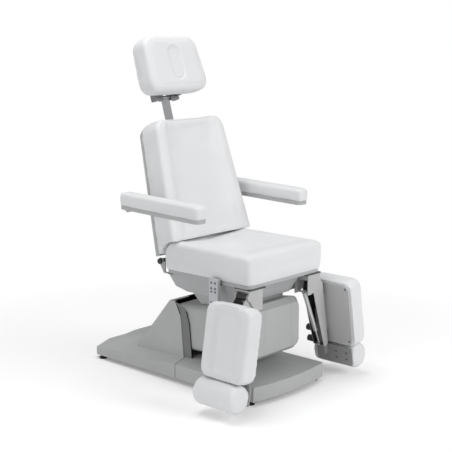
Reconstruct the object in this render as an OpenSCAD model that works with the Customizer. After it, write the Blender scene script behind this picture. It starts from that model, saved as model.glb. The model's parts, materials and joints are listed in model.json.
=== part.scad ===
// Podiatry chair: electric height column, tilting seat, reclining back,
// sliding headrest, fold-up armrests and two swivelling, rising leg rests.
// Millimetres. +Z is up, the chair faces -Y, and the sitter's left is +X.
// The origin is on the floor under the middle of the chair.

/* [Base] */
// Width of the base
base_w = 534; // [500:1:580]
// How far the front edge of the base lies ahead of the origin
base_front = 540; // [530:1:600]
// How far the middle of the front edge bulges past its corners
base_bulge = 29; // [10:1:50]
// How far the back of the base lies behind the origin
base_rear = 632; // [600:1:700]
// Radius of the rear corners of the base
base_rear_r = 30; // [20:1:60]
// Height of the covers' lower edge above the floor
base_gap = 22; // [18:1:30]
// Height of the outer edge of the deck
deck_edge_z = 95; // [88:1:100]
// Height of the middle of the deck
deck_top_z = 117; // [110:1:124]
// Width of the sloping border of the deck
deck_bevel = 72; // [60:1:90]
// Depth of the sloping border along the front
deck_front_bevel = 105; // [80:1:130]
// Height of the outer edge of the deck at the back
deck_tail_z = 60; // [55:1:75]
// Height of the ridge that runs up to the hood
ridge_z = 136; // [125:1:145]
// Half of the ridge's width
ridge_half_w = 80; // [60:1:110]
// How far behind the origin the ridge ends
ridge_end = 515; // [480:5:560]
// Wall of every moulded cover
wall = 4; // [3:0.5:5]
// How far behind the origin the deck's two covers meet
seam_y = 12; // [8:1:16]
// Radius of a levelling foot
foot_r = 21; // [18:1:25]
// Height of a levelling foot's rubber pad
foot_h = 14; // [10:1:16]

/* [Hood] */
// Half of the hood's width
hood_half_w = 195; // [190:1:205]
// Height of the hood
hood_z = 397; // [390:1:405]
// How far behind the origin the top edge of the hood lies
hood_top_y = 118; // [112:1:126]
// Depth of the flat strip along the top of the hood
hood_strip = 38; // [30:1:45]
// How far behind the origin the back of the hood meets the deck
hood_foot_y = 342; // [330:1:360]
// How far the darker inner lip stands ahead of the hood's side
lip_reach = 52; // [40:1:60]
// Thickness of the hood's side walls
hood_wall = 6; // [5:0.5:7]

/* [Lift] */
// Width of the outer column tube
column_w = 150; // [140:1:156]
// Depth of the outer column tube
column_d = 100; // [90:1:106]
// How far behind the origin the column's middle lies
column_y = 66; // [64:1:70]
// Top of the outer column tube above the floor
column_top = 346; // [330:1:350]
// Wall of each column tube
tube_wall = 5; // [4:0.5:6]
// Sliding gap between column tubes
slide_gap = 0.4; // [0.3:0.1:0.6]
// Height of the plate that carries the column
base_plate = 10; // [8:1:14]
// Side of the square rails of the base frame
rail = 34; // [30:1:36]

/* [Lift cover] */
// Half of the lift cover's width at its back
cover_rear_half_w = 181; // [176:1:182]
// Half of the lift cover's width at its front
cover_front_half_w = 187; // [183:1:192]
// How far ahead of the origin the lift cover's nose lies
cover_nose = 435; // [425:1:440]
// How far behind the origin the lift cover ends
cover_back = 95; // [88:1:98]
// Depth of the rounded nose
nose_depth = 30; // [20:1:40]
// How much smaller the nose is all round
nose_inset = 24; // [15:1:32]
// Radius of the lift cover's long edges
cover_r = 46; // [35:1:60]
// Height of the lift cover's lower edge at the back
cover_low_rear = 147; // [144:1:152]
// Height of the lift cover's lower edge at the front
cover_low_front = 175; // [168:1:180]
// Height of the lift cover's top at the back
cover_high_rear = 374; // [371:1:376]
// Height of the lift cover's top at the front
cover_high_front = 446; // [440:1:449]
// Half of the distance between the two seams of the lift cover
cover_seam = 103; // [95:1:115]
// Half of the turret's width
turret_half_w = 145; // [135:1:155]
// How far ahead of the origin the turret starts
turret_front = 345; // [335:1:355]
// How far ahead of the origin the turret's foot ends
turret_foot = 57; // [45:1:70]
// How far behind the origin the turret's top ends
turret_back = 18; // [10:1:24]

/* [Seat] */
// Width of the seat cushion
seat_w = 560; // [540:1:570]
// How far ahead of the origin the seat cushion starts
seat_front = 492; // [470:1:510]
// How far behind the origin the seat cushion ends
seat_rear = 76; // [72:1:78]
// Height of the seat cushion's underside
seat_z = 580; // [578:1:584]
// Height of the seat cushion
seat_h = 139; // [130:1:141]
// How far the middle of the seat is dished
seat_dish = 20; // [10:1:28]
// How far the seat tray's rim stands back from the cushion
rim_inset = 10; // [8:1:14]
// Height of the rim of the seat tray
rim_h = 17.7; // [17.5:0.1:17.9]
// Height of the tray's underside above the floor
tray_z = 466; // [466:1:472]
// How far the sides of the tray stand in from the cushion
tray_inset = 28; // [25:1:34]
// How much the tray narrows to its underside, on each side
tray_flare = 47; // [40:1:60]
// How far ahead of the origin the tray's underside starts
tray_low_front = 384; // [375:1:392]
// How far ahead of the origin the tray's top starts
tray_high_front = 450; // [445:1:455]
// Half of the tray's width between the leg rest recesses
recess_x = 148; // [146:1:149]
// How far ahead of the origin the leg rest recesses end
recess_y = 372; // [368:1:375]

/* [Back] */
// Lean of the back from upright, in degrees
back_lean = 16; // [15:0.5:17]
// Distance of the back's hinge behind the origin
hinge_y = 108; // [106:1:112]
// Height of the back's hinge
hinge_z = 612; // [608:1:616]
// Length of the back cushion
back_len = 660; // [640:1:680]
// Width of the back cushion at its lower end
back_low_w = 590; // [560:2:610]
// Width of the back cushion at its top
back_high_w = 478; // [450:2:500]
// Thickness of the back cushion at its side bolsters
back_t = 122; // [110:1:130]
// How far the middle of the back cushion is dished
back_dish = 14; // [8:1:20]
// Distance of the back cushion's lower end above the hinge
back_start = 26; // [24:1:30]
// Gap between the hinge axis plane and the back cushion
back_off = 22; // [18:0.5:26]
// Depth of the rear cover behind the cushion
rear_cover_d = 42; // [38:1:48]
// How far the rear cover stands in from the cushion's edge
rear_cover_inset = 14; // [10:1:20]

/* [Headrest] */
// Width of the headrest's flat bar
bar_w = 52; // [48:1:56]
// Thickness of the headrest's flat bar
bar_t = 8; // [7:0.5:9]
// Length of the headrest's bar above the back cushion
bar_out = 146; // [139:1:159]
// Length of the headrest's bar
bar_len = 480; // [460:1:500]
// Length of the guide that holds the bar
guide_len = 330; // [300:1:340]
// Lean of the headrest from upright, in degrees
head_lean = 20; // [18:1:22]
// Width of the headrest at its lower end
head_low_w = 414; // [380:2:430]
// Width of the headrest at its top
head_high_w = 366; // [340:2:380]
// Height of the headrest
head_len = 290; // [280:1:300]
// Thickness of the headrest
head_t = 104; // [90:1:112]
// Half of the width of the headrest's oval recess
oval_r = 36; // [32:1:40]
// Length of the oval recess
oval_len = 164; // [150:1:172]
// Depth of the oval recess
oval_depth = 12; // [9:1:15]

/* [Armrests] */
// Distance of an armrest's inner side from the middle
arm_x = 335; // [330:1:345]
// Width of an armrest
arm_w = 80; // [74:1:84]
// How far ahead of the origin an armrest starts
arm_front = 292; // [285:1:300]
// How far behind the origin an armrest ends
arm_rear = 250; // [230:5:260]
// Height of an armrest's underside at its hinge
arm_z = 877; // [872:1:882]
// Height of the grey shell under an armrest pad
arm_shell_h = 20; // [18:1:24]
// Height of an armrest pad
arm_pad_h = 62; // [56:1:66]
// Droop of an armrest towards its front, in degrees
arm_droop = 1.6; // [1:0.1:2]
// Radius of an armrest's hinge spindle
arm_spindle_r = 8; // [7:0.5:9]

/* [Leg rests] */
// Distance of a leg rest's swivel axis from the middle
swivel_x = 215; // [212:1:218]
// Distance of a leg rest's swivel axis ahead of the origin
swivel_y = 440; // [438:1:442]
// Distance of a leg rest's raising axis outside its swivel axis
raise_reach = 45; // [43:1:47]
// Height of a leg rest's raising axis
raise_z = 522; // [520:1:524]
// Lean of a hanging leg rest from upright, in degrees
leg_lean = 9.6; // [9:0.1:10]
// Width of a leg rest's arm
leg_arm_w = 68; // [64:1:70]
// Length of a leg rest's arm below its raising axis
leg_arm_len = 374; // [368:1:378]
// Distance of the arm's outer face from the raising axis
leg_web = 36; // [34:1:38]
// Distance of a calf pad's back from the raising axis
calf_off = 67; // [65:1:69]
// Width of a calf pad
calf_w = 272; // [250:2:290]
// How much shorter a calf pad is than its arm
calf_short = 24; // [22:1:32]
// Thickness of a calf pad
calf_t = 94; // [85:1:105]
// Distance of a calf pad's top below the raising axis
calf_drop = 25; // [25:1:30]
// How far a calf pad's middle lies inside its arm's middle
calf_shift = 51; // [40:1:60]
// Radius of a foot pad
foot_pad_r = 66; // [62:1:67]
// Length of a foot pad
foot_pad_len = 250; // [240:1:260]
// Distance of a foot pad's axis below its arm's end
foot_pad_drop = 70; // [69:1:76]
// Distance of a foot pad's axis from the raising axis, outwards
foot_pad_off = 124; // [122:1:126]
// Radius of a gas spring's cylinder
gas_r = 11; // [10:0.5:12]
// Radius of a clamp knob
knob_r = 17; // [15:1:18]

/* [Handset] */
// Width of the handset
handset_w = 56; // [50:1:60]
// Height of the handset
handset_h = 165; // [150:1:170]
// Thickness of the handset
handset_t = 20; // [18:1:24]
// Height of the handset's top above the floor
handset_top = 590; // [585:1:594]
// Distance of the handset's middle ahead of the origin
handset_y = 290; // [286:1:300]
// Radius of a handset button
button_r = 5.5; // [4.5:0.5:6]
// Travel of a handset button
button_travel = 1.2; // [1:0.1:1.5]

/* [Hidden] */

// Facets of a round, and of a round inside a hull
$fn = 48;
hull_fn = 32;
oval_fn = 24;
// Facets of the long curve along the front edge
bulge_fn = 180;
// Overrun of a cut, the length of one that passes the whole chair, a sheet thin
// enough to serve as a face, and clearances
over = 1;
beyond = 2000;
skin = 0.01;
rest_gap = 0.3;
run_gap = 0.05;
side_gap = 1.5;

// Base
bulge_r = (pow(base_w / 2, 2) + pow(base_bulge, 2)) / (2 * base_bulge);
frame_drop = 2;
frame_z = base_gap - frame_drop;
rail_inset = 8;
rail_x = base_w / 2 - rail - rail_inset;
foot_x = rail_x + rail / 2;
front_foot_inset = 70;
front_foot_y = front_foot_inset - base_front;
rear_foot_inset = 45;
rear_foot_y = base_rear - rear_foot_inset;
stud_r = foot_r / 4;
column_hole_gap = 3;
column_seat = column_d / 2 + rail / 2 + rest_gap;
motor_r = 30;
motor_len = 150;
gearbox_w = 70;
gearbox_d = 34;
inlet_w = 52;
inlet_h = 26;
inlet_d = 30;
inlet_x = -110;
inlet_wall = 3;
tab_y_shares = [-0.62, -0.2, 0.2, 0.62];
tab_w = 30;

hood_step = 28;
hood_chin = 33;
hood_low_share = 0.756;
hood_high_share = 0.844;
lip_high_share = 0.891;
lip_low_share = 0.73;
lip_foot_share = 0.83;
lip_back_share = 0.8;
foot_top_share = 0.7;

// Column and lift
plate_top = frame_z + base_plate;
middle_w = column_w - 2 * (tube_wall + slide_gap);
middle_d = column_d - 2 * (tube_wall + slide_gap);
inner_w = middle_w - 2 * (tube_wall + slide_gap);
inner_d = middle_d - 2 * (tube_wall + slide_gap);
stage_step = 2;
carriage_z = column_top + 4 * stage_step;
carriage_plate = 8;
screw_r = 12;
nut_h = 20;
beam_w = 120;
beam_h = 46;
beam_wall = 6;
shelf_y = 200;
shelf_w = 40;
shelf_spread = 3;
turret_gap = 7;
turret_top = tray_z - turret_gap;
lug_t = 8;
lug_x = 88;
lug_r = 16;
tilt_y = -10;
tilt_z = 500;
tilt_pin_r = 9;
jack_y = -300;
jack_drop = 22;
jack_low_z = carriage_z - jack_drop;
jack_high_z = 545;
jack_r = 20;
jack_rod_r = 8;
jack_pin_r = 6;
jack_eye_r = 13;
jack_eye_w = 22;
jack_body_top = turret_top - 8;
jack_slot = 28;
jack_neck = 20;
eye_share = 1.4;
eye_hole_share = 0.6;
lug_step = 15;
lug_root = 60;
lug_neck = 12;
lug_rise = 20;

// Cushions: radius of the shoulders and of the corners, and how far they draw in
draw_in = 5;
seat_edge = 26;
seat_corner = 30;
seat_heel = 65;
back_edge = 18;
back_corner = 62;
back_low_share = 0.3;
heel_gap = 4;
head_edge = 26;
head_corner = 62;
arm_edge = 18;
calf_edge = 24;
calf_corner = 42;

// Seat
rim_z = seat_z - rest_gap - rim_h;
rim_r = 30;
plate_t = 6;
plate_z = rim_z - rest_gap - plate_t;
seat_rail_x = 84;
seat_rail_w = 28;
seat_rail_h = 26;
seat_rail_z = plate_z - seat_rail_h;
brace_step = 40;
brace_y = jack_y + brace_step;
brace_w = 24;
rear_plate_y = 28;
tilt_lug_half = 40;
tray_high_half_w = seat_w / 2 - tray_inset;
tray_low_half_w = tray_high_half_w - tray_flare;
tray_bevel_h = 19;
tray_rear_inset = 4;
back_slot = 25;
hinge_lug_x = 258;
hinge_lug_w = 8;
hinge_lug_r = 17;
hinge_pin_r = 8;
hinge_tube_r = 12;
hinge_cap_r = 14;
hinge_cap_t = 9;
hinge_pin_in = 240;
hinge_gap = 4;
back_jack_y = -190;
back_jack_z = 505;
back_jack_r = 22;
back_jack_rod_r = 9;
back_jack_body = 165;
back_jack_start = 113;
crank_r = 60;
crank_angle = 45;
crank_y = hinge_y + crank_r * sin(crank_angle);
crank_z = hinge_z - crank_r * cos(crank_angle);
back_jack_len = norm([crank_y - back_jack_y, crank_z - back_jack_z]);
back_jack_angle = atan2(crank_z - back_jack_z, crank_y - back_jack_y);
fork_t = 5;
neck_share = 0.8;

// Back, headrest and armrests
back_top = back_start + back_len;
bar_top = back_top + bar_out;
bar_y = 5;
guide_wall = 3;
guide_end = 26;
guide_low = back_top - guide_end - guide_len;
upright_end = 36;
upright_top = back_top - upright_end;
stand_end = 126;
stand_top = back_top - stand_end;
brace_low = 180;
back_corner_r = 60;
upright_x = 100;
upright_w = 40;
upright_t = 8;
arm_u = 282;
head_pin_r = 7;
head_crossbar = 170;
head_block_w = 24;
head_crossbar_h = 34;
head_off = 41;
head_start = -2;
head_plate_t = 8;
head_plate_h = 150;
arm_y = hinge_y + arm_u * sin(back_lean) + bar_y * cos(back_lean);
arm_axis_z = hinge_z + arm_u * cos(back_lean) - bar_y * sin(back_lean);
arm_len = arm_front + arm_rear;
arm_hub_r = 14;
arm_hub_w = 52;
arm_lip = 3;
arm_end_r = 26;
spindle_reach = 45;
arm_spindle_end = arm_x + spindle_reach;
arm_hub_in = arm_x + arm_lip - arm_hub_w;
arm_low = arm_z - arm_axis_z;

// Leg rests
raise_x = swivel_x + raise_reach;
leg_y = -swivel_y;
leg_plate_t = 4;
raise_pin_r = 9;
raise_boss_r = 16;
cheek_x = 182;
cheek_z = 539;
cheek_r = 85;
cheek_t = 5;
cheek_gap = 4;
cheek_y = leg_arm_w / 2 + cheek_gap;
bracket_in = 43;
bracket_out = 52;
bracket_top = plate_z - rest_gap;
bracket_t = 6;
swivel_r = 8;
gas_top_x = 195;
gas_top_z = 462;
gas_low_n = 9;
gas_low_step = 11;
gas_low_d = leg_arm_len - gas_low_step;
gas_pin_r = 5;
gas_eye_r = 10;
gas_eye_w = 14;
gas_rod_r = 5;
gas_body_share = 0.74;
web_t = 4;
leg_shoulder = 33.5;
leg_tip_r = 18;
leg_tip_n = 17;
leg_belly = 43;
leg_heel = 3;
knob_n = 26;
calf_len = leg_arm_len - calf_short;
calf_dish = 10;
foot_pad_shift = 35;

bar_off = leg_web - web_t - rest_gap;
foot_bar_t = 11.5;
foot_bar_w = 40;
foot_bar_in = 194;
foot_bar_top = leg_arm_len - foot_bar_in;
foot_back_off = 68;
foot_plate_t = 7.7;
foot_plate_w = 219;
foot_plate_h = 98;
foot_plate_step = 7;
foot_plate_top = leg_arm_len + foot_plate_step;
foot_plate_low = foot_plate_top + foot_plate_h;
knob_shares = [0.78, 0.944];
knob_shaft_r = 4;
knob_len = 26;
knob_neck = 20;
calf_plate_t = 9;
calf_plate_inset = 15;

// Handset
handset_x = seat_w / 2 + 6;
hook_t = 2.7;
hook_w = 24;
peg_r = 4;
peg_len = 8;
slot_len = 36;
button_rows_share = [0.89, 0.73, 0.63, 0.315];
button_pitch = 24;
button_out = 2;
button_len = 4.5;

// A cylinder along X or Y, centred
module along_x(r, h) {
    rotate([0, 90, 0]) cylinder(h = h, r = r, center = true);
}

module along_y(r, h) {
    rotate([90, 0, 0]) cylinder(h = h, r = r, center = true);
}

// A box between two corners
module block(x0, x1, y0, y1, z0, z1) {
    translate([x0, y0, z0]) cube([x1 - x0, y1 - y0, z1 - z0]);
}

// A plate whose outline is given in Y and Z
module side_plate(points, t) {
    rotate([90, 0, 90]) translate([0, 0, -t / 2]) linear_extrude(t) polygon(points);
}

// A rectangle with round corners, centred
module round_square(w, l, r) {
    square([w - 2 * r, l], center = true);
    square([w, l - 2 * r], center = true);
    for (sx = [-1, 1], sy = [-1, 1]) {
        translate([sx * (w / 2 - r), sy * (l / 2 - r)]) circle(r = r);
    }
}

// Draws its children on the sitter's left, or mirrored on the right
module at_side(side) {
    if (side > 0) {
        children();
    } else {
        mirror([1, 0, 0]) children();
    }
}

// Both sides at once
module both_sides() {
    at_side(1) children();
    at_side(-1) children();
}

// A cushion is a stack of rings. Its outline is a rectangle with round
// corners whose width tapers from w0 to w1 along its length, its sides draw in
// towards the board, its shoulder is round, and its top dips by dish between
// the bolsters. At its start the corners' radius is the share low of r, and
// the top falls by drop over a length of reach, along a quarter of an ellipse.
corner_steps = 7;
stop_shares = [0.45, 0.72, 0.9, 1];
shoulder_steps = 3;
top_shares = [0.9, 0.83, 0.66, 0.46, 0.22];
lean_share = 0.45;
end_share = 0.6;
crown_start = 0.5;
crown_run = 0.42;

function smooth(t) = let (u = min(1, max(0, t))) u * u * (3 - 2 * u);
function fall(v, drop, reach) = v >= reach ? 0 : drop * (1 - sqrt(1 - pow(1 - v / reach, 2)));
function corner(sx, sy, rx, ry, turn) = [for (i = [0 : corner_steps])
    let (a = turn + 90 * i / corner_steps) [sx * (1 - rx) + rx * cos(a), sy * (1 - ry) + ry * sin(a)]];
function outline(rx, ry, low, stops) = concat(
    corner(1, 1, rx, ry, 0), [[0, 1]], corner(-1, 1, rx, ry, 90), [[-1, 0]],
    [for (i = [1 : 1 : len(stops)]) [-1, stops[len(stops) - i]]],
    corner(-1, -1, low * rx, low * ry, 180), [[0, -1]], corner(1, -1, low * rx, low * ry, 270),
    [for (y = stops) [1, y]], [[1, 0]]);

module cushion(w0, w1, len, t, edge, draw, r, low, dish, ends, drop, reach) {
    function half_w(v) = (w0 + (w1 - w0) * v / len) / 2;
    function place(q, inset, share) = let (v = len / 2 + q[1] * (len / 2 - inset) * share)
        [q[0] * (half_w(v) - inset) * share, v];
    function top(p) = t - fall(p[1], drop, reach);
    function edge_at(p) = min(edge, top(p) * end_share);
    function hollow(q, share) =
        dish * (1 - smooth((max(abs(q[0]), ends * q[1]) * share - crown_start) / crown_run));
    stops = [for (s = stop_shares) if (s * reach > low * r) 2 * s * reach / len - 1];
    units = outline(2 * r / w0, 2 * r / len, low, stops);
    n = len(units);
    lower = [for (q = units) let (p = place(q, draw, 1)) [p[0], p[1], 0]];
    waist = [for (q = units) let (p = place(q, 0, 1))
        [p[0], p[1], (top(p) - edge_at(p)) * lean_share]];
    shoulder = [for (k = [0 : shoulder_steps]) let (a = 90 * k / shoulder_steps)
        for (q = units) let (p = place(q, edge * (1 - cos(a)), 1))
            [p[0], p[1], top(p) - edge_at(p) * (1 - sin(a))]];
    crown = [for (s = top_shares) for (q = units) let (p = place(q, edge, s))
        [p[0], p[1], top(p) - hollow(q, s)]];
    middle = [[0, len / 2, t - dish]];
    low_middle = [[0, len / 2, 0]];
    points = concat(lower, waist, shoulder, crown, middle, low_middle);
    rings = 2 + shoulder_steps + 1 + len(top_shares);
    last = rings * n;
    sides = [for (k = [0 : rings - 2]) for (i = [0 : n - 1])
        let (j = (i + 1) % n, a = k * n, b = a + n)
            each [[a + i, b + i, b + j], [a + i, b + j, a + j]]];
    caps = [for (i = [0 : n - 1]) let (j = (i + 1) % n)
        each [[last - n + i, last, last - n + j], [i, j, last + 1]]];
    polyhedron(points = points, faces = concat(sides, caps), convexity = 4);
}

// Base covers. Each is a skin under a sloping deck, open below.
module front_outline(inset, front_inset, back_inset) {
    intersection() {
        translate([-base_w / 2 + inset, -base_front])
            square([base_w - 2 * inset, base_front + seam_y - back_inset]);
        translate([0, bulge_r - base_front + front_inset]) circle(r = bulge_r - inset, $fn = bulge_fn);
    }
}

module front_deck(inset) {
    hull() {
        translate([0, 0, base_gap - sign(inset) * over])
            linear_extrude(deck_edge_z - base_gap - inset) front_outline(inset, 0, -sign(inset) * over);
        translate([0, 0, deck_top_z - inset - skin])
            linear_extrude(skin) front_outline(deck_bevel, deck_front_bevel, -sign(inset) * over);
    }
}

module rear_outline(inset) {
    half = base_w / 2 - inset;
    straight = base_rear - base_rear_r;
    start = seam_y - sign(inset) * over;
    translate([-half, start]) square([2 * half, straight - start]);
    translate([base_rear_r - base_w / 2, start])
        square([base_w - 2 * base_rear_r, base_rear - start - inset]);
    for (s = [-1, 1]) {
        translate([s * (base_w / 2 - base_rear_r), straight]) circle(r = base_rear_r - inset);
    }
}

module rear_deck(inset) {
    y = seam_y - sign(inset) * over;
    half = base_w / 2 - inset;
    plateau = base_w / 2 - deck_bevel;
    hull() {
        translate([0, 0, base_gap - sign(inset) * over])
            linear_extrude(deck_tail_z - base_gap - inset) rear_outline(inset);
        block(-half, half, y, y + skin, base_gap, deck_edge_z - inset);
        block(-plateau, plateau, y, y + skin, base_gap, deck_top_z - inset);
        block(-ridge_half_w, ridge_half_w, hood_foot_y, ridge_end, base_gap, ridge_z - inset);
    }
}

module base_front_cover() {
    color("silver") difference() {
        front_deck(0);
        front_deck(wall);
    }
}

module base_rear_cover() {
    hole_w = column_w / 2 + column_hole_gap;
    hole_y = column_d / 2 + column_hole_gap;
    color("silver") difference() {
        rear_deck(0);
        rear_deck(wall);
        block(-hole_w, hole_w, column_y - hole_y, column_y + hole_y, base_gap, ridge_z);
        block(inlet_x - inlet_w / 2, inlet_x + inlet_w / 2, base_rear - inlet_d, base_rear + over,
            base_gap - over, base_gap + inlet_h);
    }
}

// The hood stands on the deck behind the lift cover, open at the front
module lift_hood() {
    rise = hood_z - ridge_z + deck_edge_z - base_gap;
    run = (hood_foot_y - hood_top_y) * rise / (hood_z - ridge_z);
    lip_y = hood_top_y - hood_strip;
    shell = [[hood_top_y, hood_z], [hood_top_y + run, hood_z - rise], [seam_y + hood_wall, hood_z - rise],
        [seam_y + hood_step, hood_z * hood_low_share], [lip_y - hood_chin, hood_z * hood_high_share],
        [lip_y, hood_z]];
    hollow = [[hood_top_y - hood_wall, hood_z - hood_wall],
        [hood_top_y + run - 2 * hood_wall, hood_z - rise - over],
        [-beyond, hood_z - rise - over], [-beyond, hood_z - hood_wall]];
    lip = [[lip_y + 2 * hood_wall, hood_z - hood_wall], [lip_y, hood_z - hood_wall],
        [seam_y - hood_wall, hood_z * lip_high_share], [seam_y - lip_reach / 2, hood_z * lip_low_share],
        [seam_y - lip_reach * lip_foot_share, deck_top_z + over], [seam_y + lip_reach, deck_top_z + over],
        [seam_y + lip_reach, hood_z * lip_back_share]];
    lip_x = hood_half_w - hood_wall;
    notch_x = cover_rear_half_w + side_gap;
    column_x = column_w / 2 + side_gap;
    color("gray") difference() {
        union() {
            difference() {
                side_plate(shell, 2 * hood_half_w);
                side_plate(hollow, 2 * lip_x);
            }
            both_sides() translate([lip_x - hood_wall / 4, 0, 0]) side_plate(lip, hood_wall);
        }
        block(-notch_x, notch_x, -beyond, cover_back + side_gap, hood_z - 2 * hood_wall, hood_z + over);
        block(-column_x, column_x, -beyond, column_y + middle_d / 2 + side_gap, hood_z - 2 * hood_wall,
            hood_z + over);
        rear_deck(0);
    }
}

module rail_box(x0, x1, y0, y1) {
    block(x0, x1, y0, y1, frame_z, frame_z + rail);
}

module base_frame() {
    color("dimgray") difference() {
        union() {
            both_sides() rail_box(rail_x, rail_x + rail, front_foot_y - rail / 2, rear_foot_y + rail / 2);
            for (y = [front_foot_y, column_y - column_seat, column_y + column_seat, rear_foot_y]) {
                rail_box(-rail_x - over, rail_x + over, y - rail / 2, y + rail / 2);
            }
            block(-column_w / 2 - rail, column_w / 2 + rail, column_y - column_seat,
                column_y + column_seat, frame_z, plate_top);
            both_sides() for (share = tab_y_shares) {
                translate([0, share * base_front, 0]) rail_box(rail_x + rail - over,
                    base_w / 2 - wall - rest_gap, 0, tab_w);
            }
            block(inlet_x - inlet_w / 2 + rest_gap, inlet_x + inlet_w / 2 - rest_gap,
                rear_foot_y, base_rear - over, frame_z, base_gap + inlet_h - rest_gap);
        }
        block(inlet_x - inlet_w / 2 + inlet_wall, inlet_x + inlet_w / 2 - inlet_wall,
            base_rear - inlet_d / 2, base_rear + over, base_gap + inlet_wall,
            base_gap + inlet_h - inlet_wall);
        both_sides() for (y = [front_foot_y, rear_foot_y]) {
            translate([foot_x, y, frame_z - over]) cylinder(h = rail / 2 + over, r = stud_r);
        }
    }
}

// Four identical screw-in feet
module levelling_feet() {
    color("black") both_sides() for (y = [front_foot_y, rear_foot_y]) {
        translate([foot_x, y, 0]) {
            cylinder(h = foot_h / 2, r = foot_r);
            translate([0, 0, foot_h / 2 - skin])
                cylinder(h = foot_h / 2, r1 = foot_r, r2 = foot_r * foot_top_share);
            cylinder(h = frame_z + rail / 2 - rest_gap, r = stud_r);
        }
    }
}

module tube(w, d, z0, z1) {
    translate([0, column_y, 0]) difference() {
        block(-w / 2, w / 2, -d / 2, d / 2, z0, z1);
        block(-w / 2 + tube_wall, w / 2 - tube_wall, -d / 2 + tube_wall, d / 2 - tube_wall,
            z0 - over, z1 + over);
    }
}

// The fixed stage of the column, with the lifting screw that stands in it
module column_outer_tube() {
    color("silver") {
        tube(column_w, column_d, plate_top, column_top);
        translate([0, column_y, plate_top]) cylinder(h = column_top - plate_top + stage_step, r = screw_r);
        block(-column_w / 2 + tube_wall - skin, column_w / 2 - tube_wall + skin,
            column_y - column_d / 2 + tube_wall - skin, column_y + column_d / 2 - tube_wall + skin,
            plate_top, plate_top + stage_step);
    }
}

module lift_motor() {
    y = column_y + column_seat + rail / 2 + rest_gap;
    color("dimgray") {
        block(-gearbox_w / 2, gearbox_w / 2, y, y + gearbox_d, frame_z, frame_z + rail + motor_r);
        translate([0, y + gearbox_d + motor_len / 2 - skin, frame_z + rail]) along_y(motor_r, motor_len);
    }
}

module column_middle_tube() {
    color("lightgray") tube(middle_w, middle_d, plate_top + 2 * stage_step, column_top + 2 * stage_step);
}

module column_inner_tube() {
    z = plate_top + 3 * stage_step;
    color("silver") {
        tube(inner_w, inner_d, z, carriage_z);
        translate([0, column_y, 0]) difference() {
            block(-inner_w / 2 + tube_wall / 2, inner_w / 2 - tube_wall / 2,
                -inner_d / 2 + tube_wall / 2, inner_d / 2 - tube_wall / 2, z, z + nut_h);
            translate([0, 0, z - over]) cylinder(h = nut_h + 2 * over, r = screw_r + run_gap);
        }
    }
}

// Height of the lift cover's top or underside at a place along Y
function cover_high(y) = cover_high_rear
    + (cover_high_front - cover_high_rear) * (cover_back - y) / (cover_back + cover_nose - nose_depth);

// The arm that the column lifts, with the turret's two lugs and the tilt pin
module lift_carriage() {
    top = carriage_z + carriage_plate;
    beam_x = beam_w / 2;
    beam_end = column_y - column_d / 2 - side_gap;
    shelf_half = cover_rear_half_w - wall + shelf_spread;
    foot = -turret_foot - lug_step;
    lug = [[foot - lug_root, top - over], [foot, top - over], [foot, cover_high(foot)],
        [tilt_y + lug_neck, turret_top], [tilt_y + lug_neck, tilt_z], [tilt_y - lug_neck, tilt_z],
        [foot, turret_top - lug_rise], [foot - lug_root, cover_high(foot)]];
    color("dimgray") {
        difference() {
            union() {
                block(-column_w / 2, column_w / 2, beam_end - beam_wall, column_y + inner_d / 2,
                    carriage_z, top);
                block(-beam_x, beam_x, jack_y - jack_slot, beam_end, top - beam_h, top);
                block(-shelf_half, shelf_half, -shelf_y - shelf_w, -shelf_y, carriage_z, top);
            }
            block(-beam_x + beam_wall, beam_x - beam_wall, jack_y - jack_slot - over,
                beam_end - beam_wall, top - beam_h - over, top - beam_wall);
            block(-jack_slot, jack_slot, jack_y - jack_slot - over, jack_y + jack_slot,
                top - beam_h, top + over);
        }
        both_sides() translate([lug_x, 0, 0]) {
            side_plate(lug, lug_t);
            translate([0, tilt_y, tilt_z]) along_x(lug_r, lug_t);
        }
        block(-lug_x, lug_x, foot - lug_root, foot, top - over, top + beam_wall);
        translate([0, tilt_y, tilt_z]) along_x(tilt_pin_r, 2 * (lug_x + lug_t * 2));
        translate([0, jack_y, jack_low_z]) along_x(jack_pin_r, beam_w - beam_wall);
    }
}

// One slice across the lift cover, rounded along its four long edges
module cover_slice(half_w, z0, z1, r, y, inset) {
    translate([0, y, (z0 + z1) / 2]) rotate([90, 0, 0]) linear_extrude(skin)
        round_square(2 * (half_w - inset), z1 - z0 - 2 * inset, r - inset, $fn = hull_fn);
}

module cover_body(inset) {
    nose_y = -cover_nose + inset;
    front_y = nose_y + nose_depth;
    hull() {
        cover_slice(cover_rear_half_w, cover_low_rear, cover_high_rear, cover_r / 2,
            cover_back + inset, inset);
        cover_slice(cover_front_half_w, cover_low_front, cover_high_front, cover_r, front_y, inset);
        cover_slice(cover_front_half_w - nose_inset, cover_low_front + nose_inset,
            cover_high_front - nose_inset, cover_r - nose_inset / 2, nose_y + skin, inset);
    }
}

module cover_shell() {
    hole_w = column_w / 2 + column_hole_gap;
    opening = lug_x + 2 * lug_t;
    difference() {
        cover_body(0);
        cover_body(wall);
        block(-hole_w, hole_w, column_y - column_d / 2 - column_hole_gap, beyond, 0,
            (cover_low_rear + cover_high_rear) / 2);
        block(-opening + lug_t, opening - lug_t, jack_y - jack_slot, -turret_foot - 2 * wall,
            (cover_low_rear + cover_high_rear) / 2, beyond);
    }
}

module lift_cover() {
    color("silver") intersection() {
        cover_shell();
        block(-cover_seam, cover_seam, -beyond, beyond, 0, beyond);
    }
}

// The two moulded ends of the lift cover
module lift_cover_ends() {
    color("silver") both_sides() intersection() {
        cover_shell();
        block(cover_seam, beyond, -beyond, beyond, 0, beyond);
    }
}

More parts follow.
